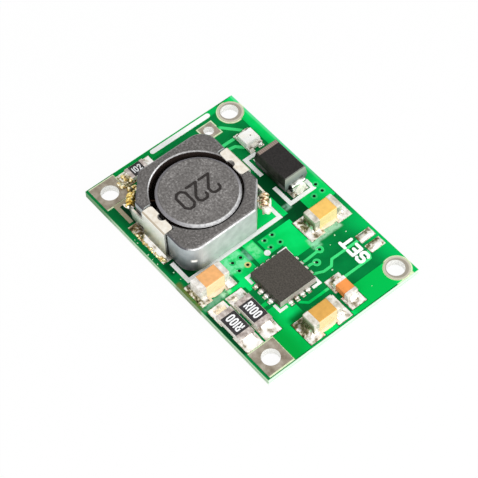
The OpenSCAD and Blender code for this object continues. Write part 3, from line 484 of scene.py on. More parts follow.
green_mask, tree, shader = new_finish("green_mask", roughness=0.3, gloss=0.03)
place = place_mm(tree)
underside = ramp(tree, noise(tree, 2.6), (0.3, (0, 112, 54)), (0.7, (2, 138, 66)))
on_top = step(tree, place[2], 0.5, 0.7)
# Painted light: the mask is lighter towards the lamp.
lit_side = both(tree, step(tree, place[0], 2.0, 6.0), step(tree, place[1], 5.8, 8.4))
bare = mixed(tree, lit_side, underside, (0, 184, 88))
# Painted light at the far end.
lit_far_end = patch(tree, place, (-13.0, -5.2), (-12.15, 6.6), 0.3)
bare = mixed(tree, lit_far_end, bare, (0, 178, 84))
for near, far, softness, strength in SHADES:
    shaded = both(tree, patch(tree, place, near, far, softness), strength)
    bare = mixed(tree, shaded, bare, (0, 48, 24))
bare = hazed(tree, place, bare)
# Painted shade: nearly black under the drum.
shade_under_drum = disc(tree, place, box_mm("drum_core")[0], UNDER_DRUM_MM, 0.3)
bare = mixed(tree, shade_under_drum, bare, (24, 17, 15))
bare = mixed(tree, on_top, underside, bare)
far_rim = both(tree, step(tree, place[1], 8.28, 8.34), step(tree, place[0], 1.0, -2.0), on_top)
bare = mixed(tree, far_rim, bare, (110, 224, 166))
print("board mask with", len(SHADES), "darker strips")

# %% [markdown]
# The mask stops a little short of the wire pads, so a pale rim of laminate shows round each, and a
# short strip is bare at one end. The rims could be cut as rings, but they are flat, so they are
# discs and rectangles on the plan, a little larger than the pads. They are measured from the
# solids, so they follow a pad that moves.

# %% Pad rims
RIM_MM = 0.14
ROUND_PADS = ("round_pad_left", "round_pad_right")
SQUARE_PADS = ("square_pad_left", "square_pad_right", "small_wire_pad")

rims = patch(tree, place, (12.2, 6.1), (12.9, 8.0), 0.1)
for pad in ROUND_PADS:
    middle, half = box_mm(pad)
    rims = math_node(tree, "MAXIMUM", rims, disc(tree, place, middle, half.x + RIM_MM))
for pad in SQUARE_PADS:
    middle, half = box_mm(pad)
    reach = Vector((half.x + RIM_MM, half.y + RIM_MM, 0))
    around = patch(tree, place, middle - reach, middle + reach, 0.06)
    rims = math_node(tree, "MAXIMUM", rims, around)
off_front_edge = step(tree, place[1], -8.3, -8.18)
rims = both(tree, rims, on_top, off_front_edge)
rim_tone = ramp(tree, noise(tree, 0.4), (0.35, (204, 228, 178)), (0.65, (236, 242, 210)))
board_top = mixed(tree, rims, bare, rim_tone)
print("rims of", RIM_MM, "mm round", len(ROUND_PADS) + len(SQUARE_PADS), "pads")

# %% [markdown]
# The cut edges show the laminate in pale layers, with the green of the mask at the top. Layers
# could be loops of faces with a tone each, but they aren't straight on the real board. So a ramp
# along the height gives them, and a noise drawn out along the edge lets them wander. The edge is
# scorched below one chip and darker towards the far end, and painted light makes it bright on
# faces towards the lamp.

# %% Board edge
BOARD_MM = 0.8
WANDER = 0.3

drift = both(tree, noise(tree, 0.9, 4.0, stretch=(1, 1, 9)), WANDER)
drift = math_node(tree, "SUBTRACT", drift, WANDER / 2)
depth = math_node(tree, "ADD", math_node(tree, "DIVIDE", place[2], BOARD_MM), drift)
layers = ramp(tree, depth, (0.05, (216, 226, 212)), (0.24, (186, 208, 182)),
              (0.42, (112, 166, 118)), (0.56, (194, 216, 186)), (0.76, (184, 212, 178)),
              (0.95, (62, 150, 90)))
scorch = both(tree, patch(tree, place, (0.3, -8.7), (3.8, -8.2), 0.3), 0.6)
layers = mixed(tree, scorch, layers, (104, 116, 66))
# Darker towards the far end.
darker_far_edge = both(tree, step(tree, place[0], -8.0, -10.0), 0.85)
layers = mixed(tree, darker_far_edge, layers, (72, 132, 78))
towards_x, _, upward = facing(tree)
# Painted light on edge faces towards the lamp.
lit_edge = both(tree, step(tree, towards_x, 0.4, 0.6), 0.5)
layers = mixed(tree, lit_edge, layers, (226, 244, 232))
on_edge = step(tree, math_node(tree, "ABSOLUTE", upward), 0.6, 0.4)
paint(tree, shader, mixed(tree, on_edge, board_top, layers), bump_grain=0.5, bump_mm=0.004)
dress(green_mask, "circuit_board")
board_half = box_mm("circuit_board")[1]
print("board", [round(2 * v, 2) for v in board_half], "mm")

# %% [markdown]
# Copper under the mask shines through it as a bright green. Wide pours look even, narrow tracks
# look paler, because the mask is thin on their edges. Both are one solid here, so three patches on
# the plan choose the tracks. Other patches darken the pours: painted shade at the front right,
# beside the right capacitor and at the far left end away from the lamp, and a little by the small
# capacitor. The haze of flux goes over all.

# %% Masked copper
TRACKS = (((5.1, 0.9), (9.4, 6.9)), ((-10.6, 2.6), (-5.4, 5.5)), ((-10.6, 5.3), (-8.3, 6.8)))

covered, tree, shader = new_finish("masked_copper", roughness=0.3, gloss=0.03)
place = place_mm(tree)
pours = ramp(tree, noise(tree, 3.4), (0.3, (0, 188, 84)), (0.5, (2, 212, 98)),
             (0.7, (8, 230, 116)))
# Painted shade on the pours at the front right.
shade_front_right = both(tree, step(tree, place[0], 5.0, 9.0), step(tree, place[1], -2.5, -5.0))
pours = mixed(tree, shade_front_right, pours, (0, 160, 60))
by_small_capacitor = patch(tree, place, (9.6, 1.5), (12.9, 6.2), 0.8)
pours = mixed(tree, by_small_capacitor, pours, (0, 186, 78))
# Painted shade beside the right capacitor.
shade_by_right_capacitor = patch(tree, place, (9.35, -3.5), (10.3, -1.7), 0.8)
pours = mixed(tree, shade_by_right_capacitor, pours, (0, 110, 44))
# Painted shade at the left end, away from the lamp.
shade_left_end = both(tree, step(tree, place[0], -3.0, -5.0), step(tree, place[1], 8.3, 6.7))
pours = mixed(tree, shade_left_end, pours, (0, 146, 64))
for near, far in TRACKS:
    pours = mixed(tree, patch(tree, place, near, far, 0.3), pours, (66, 222, 128))
far_rim = both(tree, step(tree, place[1], 8.15, 8.32), step(tree, place[0], 1.0, -2.0), 0.5)
pours = mixed(tree, far_rim, pours, (120, 228, 172))
paint(tree, shader, hazed(tree, place, pours), bump_grain=0.5, bump_mm=0.004)
dress(covered, "top_copper")
print("masked copper with", len(TRACKS), "patches of tracks")

# %% [markdown]
# The printed outlines are thick white ink with a slightly ragged surface. They are solids already,
# so only a finish is needed: two whites along a noise. Below the front wire a patch turns the ink a
# darker beige.

# %% Printed outlines
ink, tree, shader = new_finish("white_ink", roughness=0.6)
fresh = ramp(tree, noise(tree, 0.35), (0.35, (248, 251, 248)), (0.6, (255, 255, 254)))
# Darker beige ink below the front wire.
beige_below_wire = patch(tree, place_mm(tree), (-9.9, -7.9), (-7.2, -6.2), 0.3)
paint(tree, shader, mixed(tree, beige_below_wire, fresh, (164, 154, 128)), bump_grain=0.1, bump_mm=0.004)
dress(ink, "component_outlines")
print("outlines in white ink")

# %% [markdown]
# The wire pads are copper with a dull coat of tin, grey-brown, and painted light makes their plated
# holes brighter. Pure metal would mirror the white room so strongly that the stains vanish, so the
# metal is only a part of it. On the round pads the tin is pale at the rim, and painted shade makes
# it darker near the hole. A step on the height finds the barrels of the holes.

# %% Wire pads
PALE_RING_MM = 0.16
PAD_FACE_MM = 0.83

pad_tin, tree, shader = new_finish("pad_tin", roughness=0.42, metallic=0.6)
place = place_mm(tree)
stain = ramp(tree, noise(tree, 0.8, 4.0), (0.3, (128, 116, 100)), (0.5, (158, 148, 132)),
             (0.72, (186, 178, 164)))
for pad in ROUND_PADS:
    middle, half = box_mm(pad)
    stain = mixed(tree, disc(tree, place, middle, half.x), stain, (204, 198, 180))
    # Painted shade: darker near the hole.
    shade_near_hole = both(tree, disc(tree, place, middle, half.x - PALE_RING_MM, 0.12), 0.55)
    stain = mixed(tree, shade_near_hole, stain, (112, 102, 92))
# Painted light: the barrels of the holes are near white.
lit_barrel = step(tree, place[2], PAD_FACE_MM, BOARD_MM)
paint(tree, shader, mixed(tree, lit_barrel, stain, (240, 240, 236)), bump_grain=0.3, bump_mm=0.008)
dress(pad_tin, *ROUND_PADS, *SQUARE_PADS)
print("wire pads:", ", ".join(ROUND_PADS + SQUARE_PADS))

# %% [markdown]
# The lands of the chips are tinned too, but blotched brown and white, partly by flux and partly as
# painted reflection of the dark board and parts round them, and in some places scorched. One noise
# for all would put the dark blotches anywhere. So there are two ramps, a pale and a burnt one, and
# a table of soft rectangles says where the burnt one holds.

# %% Lands
SCORCHED = (
    ((-7.1, -8.3), (-5.2, -7.1)),
    ((2.1, 3.4), (3.6, 4.9)),
    ((9.8, -4.1), (11.7, -2.2)),
    ((0.5, -8.5), (3.6, -7.75)),
    ((-12.1, -5.9), (-10.4, -3.7)),
    ((6.5, 6.4), (7.22, 8.1)),
    ((7.75, 6.4), (8.42, 8.1)),
    ((8.8, 1.5), (9.7, 3.0)),
)
SCORCH_SOFT_MM = 0.35


def on_any(tree, spots):
    """One inside any of several soft rectangles."""
    place = place_mm(tree)
    total = 0.0
    for near, far in spots:
        spot = patch(tree, place, near, far, SCORCH_SOFT_MM)
        total = math_node(tree, "MAXIMUM", spot, total)
    return total


land_tin, tree, shader = new_finish("land_tin", roughness=0.34, metallic=0.6)
# Dark blotches: partly flux, partly painted reflection.
flux_and_reflection_blotch = ramp(tree, noise(tree, 0.42, 4.0, 0.6), (0.32, (112, 96, 68)), (0.40, (172, 158, 136)),
              (0.48, (228, 221, 208)), (0.58, (250, 247, 240)))
burnt = ramp(tree, noise(tree, 0.36, 4.0), (0.36, (62, 52, 30)), (0.47, (132, 112, 72)),
             (0.55, (206, 190, 158)), (0.62, (250, 246, 238)))
flux_and_reflection_blotch = mixed(tree, on_any(tree, SCORCHED), flux_and_reflection_blotch, burnt)
paint(tree, shader, flux_and_reflection_blotch, bump_grain=0.16, bump_mm=0.02)
dress(land_tin, "solder_lands")
print("lands,", len(SCORCHED), "places scorched")

# %% [markdown]
# Solder is bright, wavy metal. It mirrors the white room in some places and the green board in
# others. Its dark blotches are partly burnt flux and partly painted reflection, and burnt flux
# leaves olive patches on it. The waves could be modelled, but a bump does it with no more faces.
# The scorched places are those of the lands, and painted shade makes a few fillets darker still.

# %% Solder
SHADED_FILLETS = (
    ((9.9, -3.4), (11.4, -2.3)),
    ((2.4, 3.9), (3.3, 4.5)),
    ((6.6, 6.5), (7.05, 8.0)),
    ((7.8, 6.5), (8.25, 8.0)),
)
SOLDERED = ("jumper", "inductor", "diode", "controller", "led", "capacitor", "resistor")

solder, tree, shader = new_finish("solder", roughness=0.22, metallic=0.65)
# Dark blotches: partly flux, partly painted reflection.
bright = ramp(tree, noise(tree, 0.75, 4.0), (0.30, (104, 92, 64)), (0.37, (166, 154, 132)),
              (0.44, (230, 223, 212)), (0.54, (252, 250, 246)))
olive = ramp(tree, noise(tree, 0.36, 4.0), (0.36, (58, 62, 34)), (0.46, (120, 112, 72)),
             (0.54, (206, 196, 168)), (0.62, (252, 250, 244)))
fillets = mixed(tree, on_any(tree, SCORCHED), bright, olive)
# Painted shade on a few fillets.
fillet_shade = both(tree, on_any(tree, SHADED_FILLETS), 0.75)
fillets = mixed(tree, fillet_shade, fillets, (64, 64, 38))
paint(tree, shader, fillets, bump_grain=0.42, bump_mm=0.05)
dress(solder, *[part + "_solder" for part in SOLDERED])
print("solder of", ", ".join(SOLDERED))

# %% [markdown]
# The ends of the chips are plated by dipping, so they are paler than solder and grainy. Tones along
# a noise are enough for them: a pale set for two capacitors, the controller's leads and the
# indicator's terminals, and a browner one for the resistors.

# %% Chip ends
end_metal = mottled(
    "end_metal", [(0.32, (202, 193, 184)), (0.5, (230, 225, 217)), (0.68, (248, 246, 242))],
    grain_mm=0.5, roughness=0.42, bump_mm=0.012, bump_grain=0.14, metallic=0.4)
brown_metal = mottled(
    "brown_end_metal", [(0.32, (150, 137, 131)), (0.5, (192, 180, 173)), (0.68, (230, 222, 216))],
    grain_mm=0.4, roughness=0.42, bump_mm=0.012, bump_grain=0.12, metallic=0.6)
dress(end_metal, "controller_leads", "controller_heat_pad", "led_terminals",
      "lower_capacitor_ends", "small_capacitor_ends")
dress(brown_metal, "sense_upper_ends", "sense_lower_ends", "led_resistor_ends")
print("chip ends: a pale and a brown plating")

# %% [markdown]
# On two capacitors the end towards the square pads is olive with flux, darkest at its foot. A
# second solid for that face would split one dipped cap in two. So the finish looks for faces that
# point that way on the near end alone, and fades from the foot up. Each chip has its own height
# and place, so each gets its own material, measured from its solid.

# %% Olive ends
OLIVE_ENDS = ("upper_capacitor", "right_capacitor")

for chip in OLIVE_ENDS:
    olive_metal, tree, shader = new_finish(chip + "_end_metal", roughness=0.34, metallic=0.5)
    plating = ramp(tree, noise(tree, 0.5), (0.32, (178, 172, 154)), (0.5, (212, 206, 192)),
                   (0.68, (240, 236, 228)))
    middle, half = box_mm(chip + "_ends")
    place = place_mm(tree)
    near_end = step(tree, place[1], middle.y, middle.y - 1.0)
    to_front = both(tree, step(tree, facing(tree)[1], -0.4, -0.8), near_end)
    level = math_node(tree, "DIVIDE", place[2], middle.z + half.z)
    fade = ramp(tree, level, (0.5, (82, 84, 40)), (0.8, (122, 128, 96)), (0.96, (186, 188, 170)))
    plating = mixed(tree, to_front, plating, fade)
    paint(tree, shader, plating, bump_grain=0.14, bump_mm=0.012)
    dress(olive_metal, chip + "_ends")
print("olive ends:", ", ".join(OLIVE_ENDS))

# %% [markdown]
# Vias are tiny plated holes. On the real board most are tented with mask, so they show as green
# rings with a dark middle, and only one is bare and golden. All are one solid, so a disc on the
# plan finds the bare one. The light dies inside the indicator get a plain gilt.

# %% Vias and dies
BARE_VIA = (2.8, -2.45)
BARE_VIA_MM = 0.6
VIA_TOP_MM = 0.84

via, tree, shader = new_finish("via_ring", roughness=0.3)
place = place_mm(tree)
on_ring = step(tree, place[2], BOARD_MM, VIA_TOP_MM)
tented = mixed(tree, on_ring, (0, 44, 24), (40, 206, 112))
golden_ring = ramp(tree, noise(tree, 0.2), (0.3, (196, 190, 92)), (0.7, (244, 242, 170)))
# Painted shade: the bare via's barrel is dark inside the hole.
plated = mixed(tree, on_ring, (40, 30, 14), golden_ring)
is_bare = disc(tree, place, BARE_VIA, BARE_VIA_MM)
tree.links.new(mixed(tree, is_bare, tented, plated), shader.inputs["Base Color"])
dress(via, "via_barrels")
gilt = mottled("gilt", [(0.3, (150, 116, 52)), (0.7, (214, 180, 96))], grain_mm=0.2,
               roughness=0.3, bump_mm=0.008, bump_grain=0.1, metallic=0.8)
dress(gilt, "led_dies")
print("bare via at", BARE_VIA)

# %% [markdown]
# The inductor's shield and drum are pressed ferrite. Their tops were ground flat, which leaves pale
# and dark specks in the grey. Their sides are smooth and bluish. Painted light makes them lighter
# towards the lamp than at the front, and painted shade makes them dark near the board at the front
# and nearly black in the bore and beside the clip and its strap. One painted highlight sits on a
# corner. Each of these is a function, so that shield and drum can share them.

# %% Ferrite tops and sides
BORE_MM = 4.3
shield_middle, shield_half = box_mm("shield_core")
drum_middle, drum_half = box_mm("drum_core")


def ground_top(tree, speck, lift):
    """Grey with pale and dark specks under a broad cloud; lift makes it lighter."""
    greys = ((0.32, 64), (0.46, 94), (0.58, 115), (0.70, 158))
    stops = [(p, (g + lift, g - 3 + lift, g - 5 + lift)) for p, g in greys]
    cloud = both(tree, step(tree, noise(tree, 1.6), 0.62, 0.36), 0.4)
    return mixed(tree, cloud, ramp(tree, speck, *stops), (84, 81, 79))


def smooth_sides(tree, place, towards_y):
    """Bluish sides with painted light and shade: a foot, a glint, two shadows and the bore."""
    # Painted light: sides towards the lamp are lighter than the front.
    right = ramp(tree, noise(tree, 0.9), (0.3, (172, 177, 176)), (0.7, (196, 200, 199)))
    front = ramp(tree, noise(tree, 0.7), (0.3, (142, 151, 155)), (0.7, (174, 181, 183)))
    side = mixed(tree, step(tree, towards_y, 0.0, -0.75), right, front)
    # Painted shade: a dark foot near the board.
    foot = both(tree, step(tree, place[2], 4.4, 1.4), step(tree, towards_y, 0.0, -0.5), 0.93)
    side = mixed(tree, foot, side, (16, 19, 21))
    # Painted highlight: a pale glint on the front corner.
    painted_glint = both(tree, patch(tree, place[1:], (-6.68, 2.6), (-6.26, 2.9), 0.2),
                   step(tree, place[0], -0.1, 0.1))
    side = mixed(tree, painted_glint, side, (250, 250, 246))
    upright = (place[0], place[2])
    # Painted shadow beside the clip.
    shadow_beside_clip = both(tree, patch(tree, upright, (-2.5, 0.8), (-2.16, 4.35), 0.12),
                       step(tree, place[1], -6.2, -6.5))
    side = mixed(tree, shadow_beside_clip, side, (18, 18, 19))
    # Painted shadow behind the strap.
    shadow_behind_strap = both(tree, patch(tree, upright, (-8.9, 0.8), (-5.95, 3.78), 0.12),
                        step(tree, place[1], -5.6, -5.9))
    side = mixed(tree, shadow_behind_strap, side, (20, 20, 20))
    # Painted shade in the bore.
    return mixed(tree, disc(tree, place, shield_middle, BORE_MM), side, (46, 38, 35))


print("drum", round(drum_half.x * 2, 2), "mm across in a bore of", BORE_MM * 2, "mm")

# %% [markdown]
# The bevels between top and sides carry a painted highlight where they look towards the lamp. They
# could be their own faces with their own material, but the solids aren't to be cut up. So the way a
# face looks tells tops, bevels and sides apart, and the height keeps the painted highlight to the
# outer half of a bevel. Round the bore the painted highlight is weaker, except at the side near the
# strap.

# %% Ferrite bevels
WEAK_SHINE = 0.4


def bevel_with_painted_flash(tree, place, towards_x, ground, top_z, flash_band_mm, dull):
    """A bevel with a painted flash towards the lamp in its lower band, and ground like the top
    above it.
    """
    # Painted highlight: the tone of the flash where a bevel looks towards the lamp.
    flash_tone = ramp(tree, noise(tree, 0.25), (0.35, (196, 196, 198)), (0.6, (240, 240, 240)))
    round_bore = disc(tree, place, shield_middle, BORE_MM + 0.15)
    painted_bore_flash = both(tree, round_bore, step(tree, towards_x, 0.1, 0.6))
    painted_flash = math_node(tree, "MAXIMUM", step(tree, towards_x, 0.36, 0.62), painted_bore_flash)
    flashed_bevel = mixed(tree, painted_flash, dull, flash_tone)
    above_flash_band = step(tree, place[2], top_z - flash_band_mm - 0.03, top_z - flash_band_mm + 0.03)
    in_bore = disc(tree, place, shield_middle, BORE_MM - 0.1)
    bore_rim = math_node(tree, "SUBTRACT", round_bore, in_bore)
    corner = both(tree, step(tree, place[0], -6.2, -8.0), step(tree, place[1], -2.0, -4.0))
    shine = math_node(tree, "ADD", both(tree, corner, 1.0 - WEAK_SHINE), WEAK_SHINE)
    above_flash_band = math_node(tree, "SUBTRACT", above_flash_band, both(tree, bore_rim, shine))
    return mixed(tree, above_flash_band, flashed_bevel, ground)


def ferrite(name, lift, top_z, flash_band_mm, dull):
    """Ground top, painted flash on bevels, painted light and shade on sides, by the way faces look.
    """
    material, tree, shader = new_finish(name, roughness=0.36, coat=0.12, gloss=0.2)
    place = place_mm(tree)
    towards_x, towards_y, upward = facing(tree)
    speck = noise(tree, 0.2, 4.0, 0.7)
    ground = ground_top(tree, speck, lift)
    sides = smooth_sides(tree, place, towards_y)
    rim = bevel_with_painted_flash(tree, place, towards_x, ground, top_z, flash_band_mm, dull)
    flank = mixed(tree, step(tree, upward, 0.25, 0.45), sides, rim)
    colour = mixed(tree, step(tree, upward, 0.90, 0.97), flank, ground)
    tree.links.new(colour, shader.inputs["Base Color"])
    bumps(tree, shader, speck, 0.012)
    return material


shield_top = shield_middle.z + shield_half.z
drum_top = drum_middle.z + drum_half.z
dress(ferrite("shield_ferrite", 0, shield_top, 0.11, (78, 76, 80)), "shield_core")
dress(ferrite("drum_ferrite", 15, drum_top, 0.06, (140, 138, 142)), "drum_core")
print("ferrite tops at", round(shield_top, 2), "and", round(drum_top, 2), "mm")

# %% [markdown]
# The clips are folded from tinned sheet. A polished sheet that stands upright mirrors the white
# floor near its top and the green board near its foot. The metal gives some of that fade by itself,
# and painted reflection gives the rest: upright faces nearly white, and a darker green low down.
# The fold is darker and browner, and painted shade darkens the forked tail of the front clip, which
# lies in the shade of the wire.

# %% Clips
sheet_tin, tree, shader = new_finish("sheet_tin", roughness=0.3, metallic=0.8)
place = place_mm(tree)
rolled = ramp(tree, noise(tree, 0.5, 4.0), (0.3, (226, 214, 196)), (0.5, (240, 233, 220)),
              (0.7, (249, 245, 236)))
upward = facing(tree)[2]
upright = step(tree, upward, 0.5, 0.2)
# Painted reflection: upright faces nearly white.
rolled = mixed(tree, upright, rolled, (255, 253, 246))
# Darker and browner along the fold.
fold = both(tree, step(tree, upward, 0.2, 0.4), step(tree, upward, 0.97, 0.85), 0.7)
rolled = mixed(tree, fold, rolled, (168, 150, 122))
# Painted reflection: upright faces darker green low down.
board_reflection_low = both(tree, upright, step(tree, place[2], 3.0, 1.5), 0.9)
rolled = mixed(tree, board_reflection_low, rolled, (104, 114, 96))
# Painted shade on the front clip's forked tail.
shaded_front_tail = both(tree, step(tree, place[0], -6.9, -7.3), step(tree, place[1], -5.0, -6.0), 0.85)
rolled = mixed(tree, shaded_front_tail, rolled, (44, 52, 36))
paint(tree, shader, rolled, bump_grain=0.14, bump_mm=0.008)
dress(sheet_tin, "front_clip", "back_clip")
print("clips in tinned sheet")

# %% [markdown]
# The diode's leads are brighter than the clips, because they were dipped in solder. The shape is in
# the solids, so this is only a metal with a low roughness, grey where it ran thin and nearly white
# where it is thick.

# %% Diode leads
lead_tin = mottled(
    "lead_tin", [(0.32, (140, 142, 136)), (0.46, (206, 207, 200)), (0.6, (248, 248, 244))],
    grain_mm=0.5, roughness=0.2, bump_mm=0.03, bump_grain=0.4, metallic=0.9)
dress(lead_tin, "cathode_lead", "anode_lead")
print("diode leads in dipped tin")

# %% [markdown]
# The wire ends differ. The front one is bare copper gone golden under flux, the back one is half
# drowned in solder, so pinkish tin and copper show in patches. Two materials by hand would repeat
# each other, so one loop makes both, with a table of tones. Inside the shield painted shade makes
# both dark, and the winding, which only shows in the gap between drum and shield, keeps its dark
# red enamel.

# %% Wire
WIRE_TONES = {
    "front_wire_end": ((128, 88, 22), (214, 172, 66), (246, 224, 140), (254, 248, 222)),
    "back_wire_end": ((104, 62, 40), (218, 186, 146), (246, 230, 198), (254, 250, 236)),
}
INSIDE_MM = 4.7

for end, tones in WIRE_TONES.items():
    bared, tree, shader = new_finish(end + "_metal", roughness=0.22, metallic=0.75)
    melt = ramp(tree, noise(tree, 0.36), *zip((0.34, 0.46, 0.57, 0.68), tones))
    # Painted shade inside the shield.
    shade_inside_shield = disc(tree, place_mm(tree), shield_middle, INSIDE_MM, 0.3)
    melt = mixed(tree, shade_inside_shield, melt, (52, 34, 20))
    paint(tree, shader, melt, bump_grain=0.2, bump_mm=0.025)
    dress(bared, end)
copper = mottled("enamelled_copper", [(0.3, (84, 40, 20)), (0.7, (128, 68, 34))], grain_mm=0.4,
                 roughness=0.3, bump_mm=0.004, bump_grain=0.1, metallic=0.6)
dress(copper, "coil_winding")
print("wire ends:", ", ".join(WIRE_TONES))

# %% [markdown]
# The diode is black moulding compound. Its band is burnt into the top with a laser, in fine lines
# across. A strip laid on top would stand proud, so the band is a step along the length on upward
# faces only, and a ping-pong of the place across gives the lines. Painted light makes the end
# towards the lamp paler, the more so higher up, and painted shade gives it a dark gap beside the
# lead.

# %% Diode
BAND_MM = 0.62
BAND_LINE_MM = 0.2
BAND_EDGE_MM = 0.03
diode_middle, diode_half = box_mm("diode_body")
band_end = diode_middle.x - diode_half.x + BAND_MM

mould, tree, shader = new_finish("diode_mould", roughness=0.42, gloss=0.2)
place = place_mm(tree)
towards_x, _, upward = facing(tree)
compound = ramp(tree, noise(tree, 0.16, 4.0), (0.32, (22, 20, 19)), (0.68, (44, 41, 40)))
sides = ramp(tree, noise(tree, 0.6), (0.3, (26, 28, 25)), (0.7, (52, 53, 48)))
level = math_node(tree, "DIVIDE", place[2], diode_middle.z + diode_half.z)
# Painted light on the end towards the lamp, paler higher up.
lit_end = ramp(tree, level, (0.40, (70, 82, 80)), (0.72, (112, 124, 120)), (0.97, (160, 164, 154)))
# Painted shade: a dark gap beside the lead.
shade_by_lead = patch(tree, place[1:], (5.25, 0.9), (5.95, 1.95), 0.2)
lit_end = mixed(tree, shade_by_lead, lit_end, (18, 18, 16))
sides = mixed(tree, step(tree, towards_x, 0.5, 0.9), sides, lit_end)
lines = math_node(tree, "PINGPONG", place[1], BAND_LINE_MM / 2)
lines = both(tree, lines, 2 / BAND_LINE_MM)
band = ramp(tree, lines, (0.25, (128, 112, 104)), (0.75, (156, 138, 128)))
in_band = step(tree, place[0], band_end, band_end - BAND_EDGE_MM)
face = mixed(tree, in_band, compound, band)
face = mixed(tree, step(tree, upward, 0.6, 0.9), sides, face)
paint(tree, shader, face, bump_grain=0.08, bump_mm=0.006)
dress(mould, "diode_body")
print("diode band", BAND_MM, "mm wide")

# %% [markdown]
# The controller is a greyer compound than the diode, sawn from a larger plate of chips. Its top is
# finely grained, and painted light makes the sawn side towards the lamp much paler than the top.
# The way each face looks tells them apart, as on the ferrite.

# %% Controller
chip_mould, tree, shader = new_finish("controller_mould", roughness=0.5, gloss=0.2)
towards_x, _, upward = facing(tree)
grain = ramp(tree, noise(tree, 0.14, 4.0), (0.32, (56, 53, 48)), (0.68, (84, 79, 73)))
sawn = ramp(tree, noise(tree, 0.2), (0.3, (48, 44, 40)), (0.7, (78, 72, 66)))
# Painted light on the sawn side towards the lamp.
sawn = mixed(tree, step(tree, towards_x, 0.5, 0.9), sawn, (186, 178, 172))
face = mixed(tree, step(tree, upward, 0.6, 0.9), sawn, grain)
paint(tree, shader, face, bump_grain=0.06, bump_mm=0.006)
dress(chip_mould, "controller_body")
print("controller", round(2 * box_mm("controller_body")[1].x, 2), "mm across")

# %% [markdown]
# The chip capacitors are fired ceramic. Their tops are tan or orange, their sides mostly paler,
# partly where the cut through the layers is and partly as painted light, so the noise on the sides
# is drawn out along them. One ceramic for all would look copied. A small table gives each its own
# tone, because no two came from one batch.

# %% Ceramic blocks
CERAMIC_TONES = {
    "upper_capacitor": ((246, 198, 104), (248, 224, 160)),
    "right_capacitor": ((222, 168, 82), (238, 208, 158)),
    "lower_capacitor": ((243, 180, 116), (252, 226, 178)),
    "small_capacitor": ((246, 154, 78), (240, 146, 76)),
}


def dimmed(colour, part):
    """A screen colour at a part of its strength."""
    return tuple(int(value * part) for value in colour)


for chip, (top_tone, side_tone) in CERAMIC_TONES.items():
    ceramic, tree, shader = new_finish(chip + "_ceramic", roughness=0.4, coat=0.1, gloss=0.2)
    skin = ramp(tree, noise(tree, 0.5, 4.0), (0.32, dimmed(top_tone, 0.93)), (0.66, top_tone))
    # The paler sides are partly the cut layers, partly painted light.
    cut_and_lit_side = ramp(tree, noise(tree, 0.3, 4.0, stretch=(1, 1, 6)), (0.3, dimmed(side_tone, 0.92)),
               (0.6, side_tone))
    face = mixed(tree, step(tree, facing(tree)[2], 0.5, 0.85), cut_and_lit_side, skin)
    paint(tree, shader, face, bump_grain=0.12, bump_mm=0.006)
    dress(ceramic, chip + "_body")
print("ceramics:", ", ".join(CERAMIC_TONES))

# %% [markdown]
# A chip resistor is a white alumina plate with a black coat of glass over its film. Plate and coat
# are solids of their own, so each gets a plain finish: a dry white, and a black with a thin clear
# coat on the shader.

# %% Resistors
RESISTORS = ("sense_upper", "sense_lower", "led_resistor")

alumina = mottled("alumina", [(0.3, (216, 210, 200)), (0.7, (244, 242, 236))], grain_mm=0.2,
                  roughness=0.6, bump_mm=0.006, bump_grain=0.06)
black_coat = mottled("black_coat", [(0.3, (34, 32, 34)), (0.7, (58, 55, 56))], grain_mm=0.3,
                     roughness=0.34, bump_mm=0.008, bump_grain=0.3, coat=0.1, gloss=0.2)
dress(alumina, *[chip + "_plate" for chip in RESISTORS])
dress(black_coat, *[chip + "_coat" for chip in RESISTORS])
print("resistors:", ", ".join(RESISTORS))

# %% [markdown]
# The indicator is a block of milky resin on a white base. Clear resin could be pure transmission,
# but this one is clouded, so a small share of transmission over a pale body is nearer. A tiny dark
# speck marks the die under the surface.

# %% Indicator
CLEAR_SHARE = 0.05
RESIN_IOR = 1.5
SPECK_OFF_MM = (0.06, 0.18)
SPECK_MM = 0.07

led_base = mottled("led_base", [(0.3, (244, 240, 226)), (0.7, (254, 252, 246))], grain_mm=0.3,
                   roughness=0.6, bump_mm=0.006, bump_grain=0.1, gloss=0.1)
dress(led_base, "led_base")
led_middle = box_mm("led_lens")[0]
milky, tree, shader = new_finish("milky_resin", roughness=0.3, coat=0.05, gloss=0.12)
shader.inputs["Transmission Weight"].default_value = CLEAR_SHARE
shader.inputs["IOR"].default_value = RESIN_IOR
resin = ramp(tree, noise(tree, 0.5), (0.3, (254, 251, 240)), (0.6, (255, 255, 252)))
speck_place = (led_middle.x + SPECK_OFF_MM[0], led_middle.y + SPECK_OFF_MM[1])
speck = disc(tree, place_mm(tree), speck_place, SPECK_MM)
resin = mixed(tree, speck, resin, (120, 100, 84))
paint(tree, shader, resin, bump_grain=0.5, bump_mm=0.01, detail=1.0)
dress(milky, "led_lens")
print("indicator at", [round(v, 2) for v in led_middle])

# %% [markdown]
# The printed figures are real, thin pieces of ink. A text object could write them, but its letters
# have square ends, and those on the real parts are drawn with a round pen. So each letter here is a
# few lines on a unit square, and each line becomes the hull of four small circles: two at either
# end, one above the other. That gives a flat stroke with round ends, already at its size.

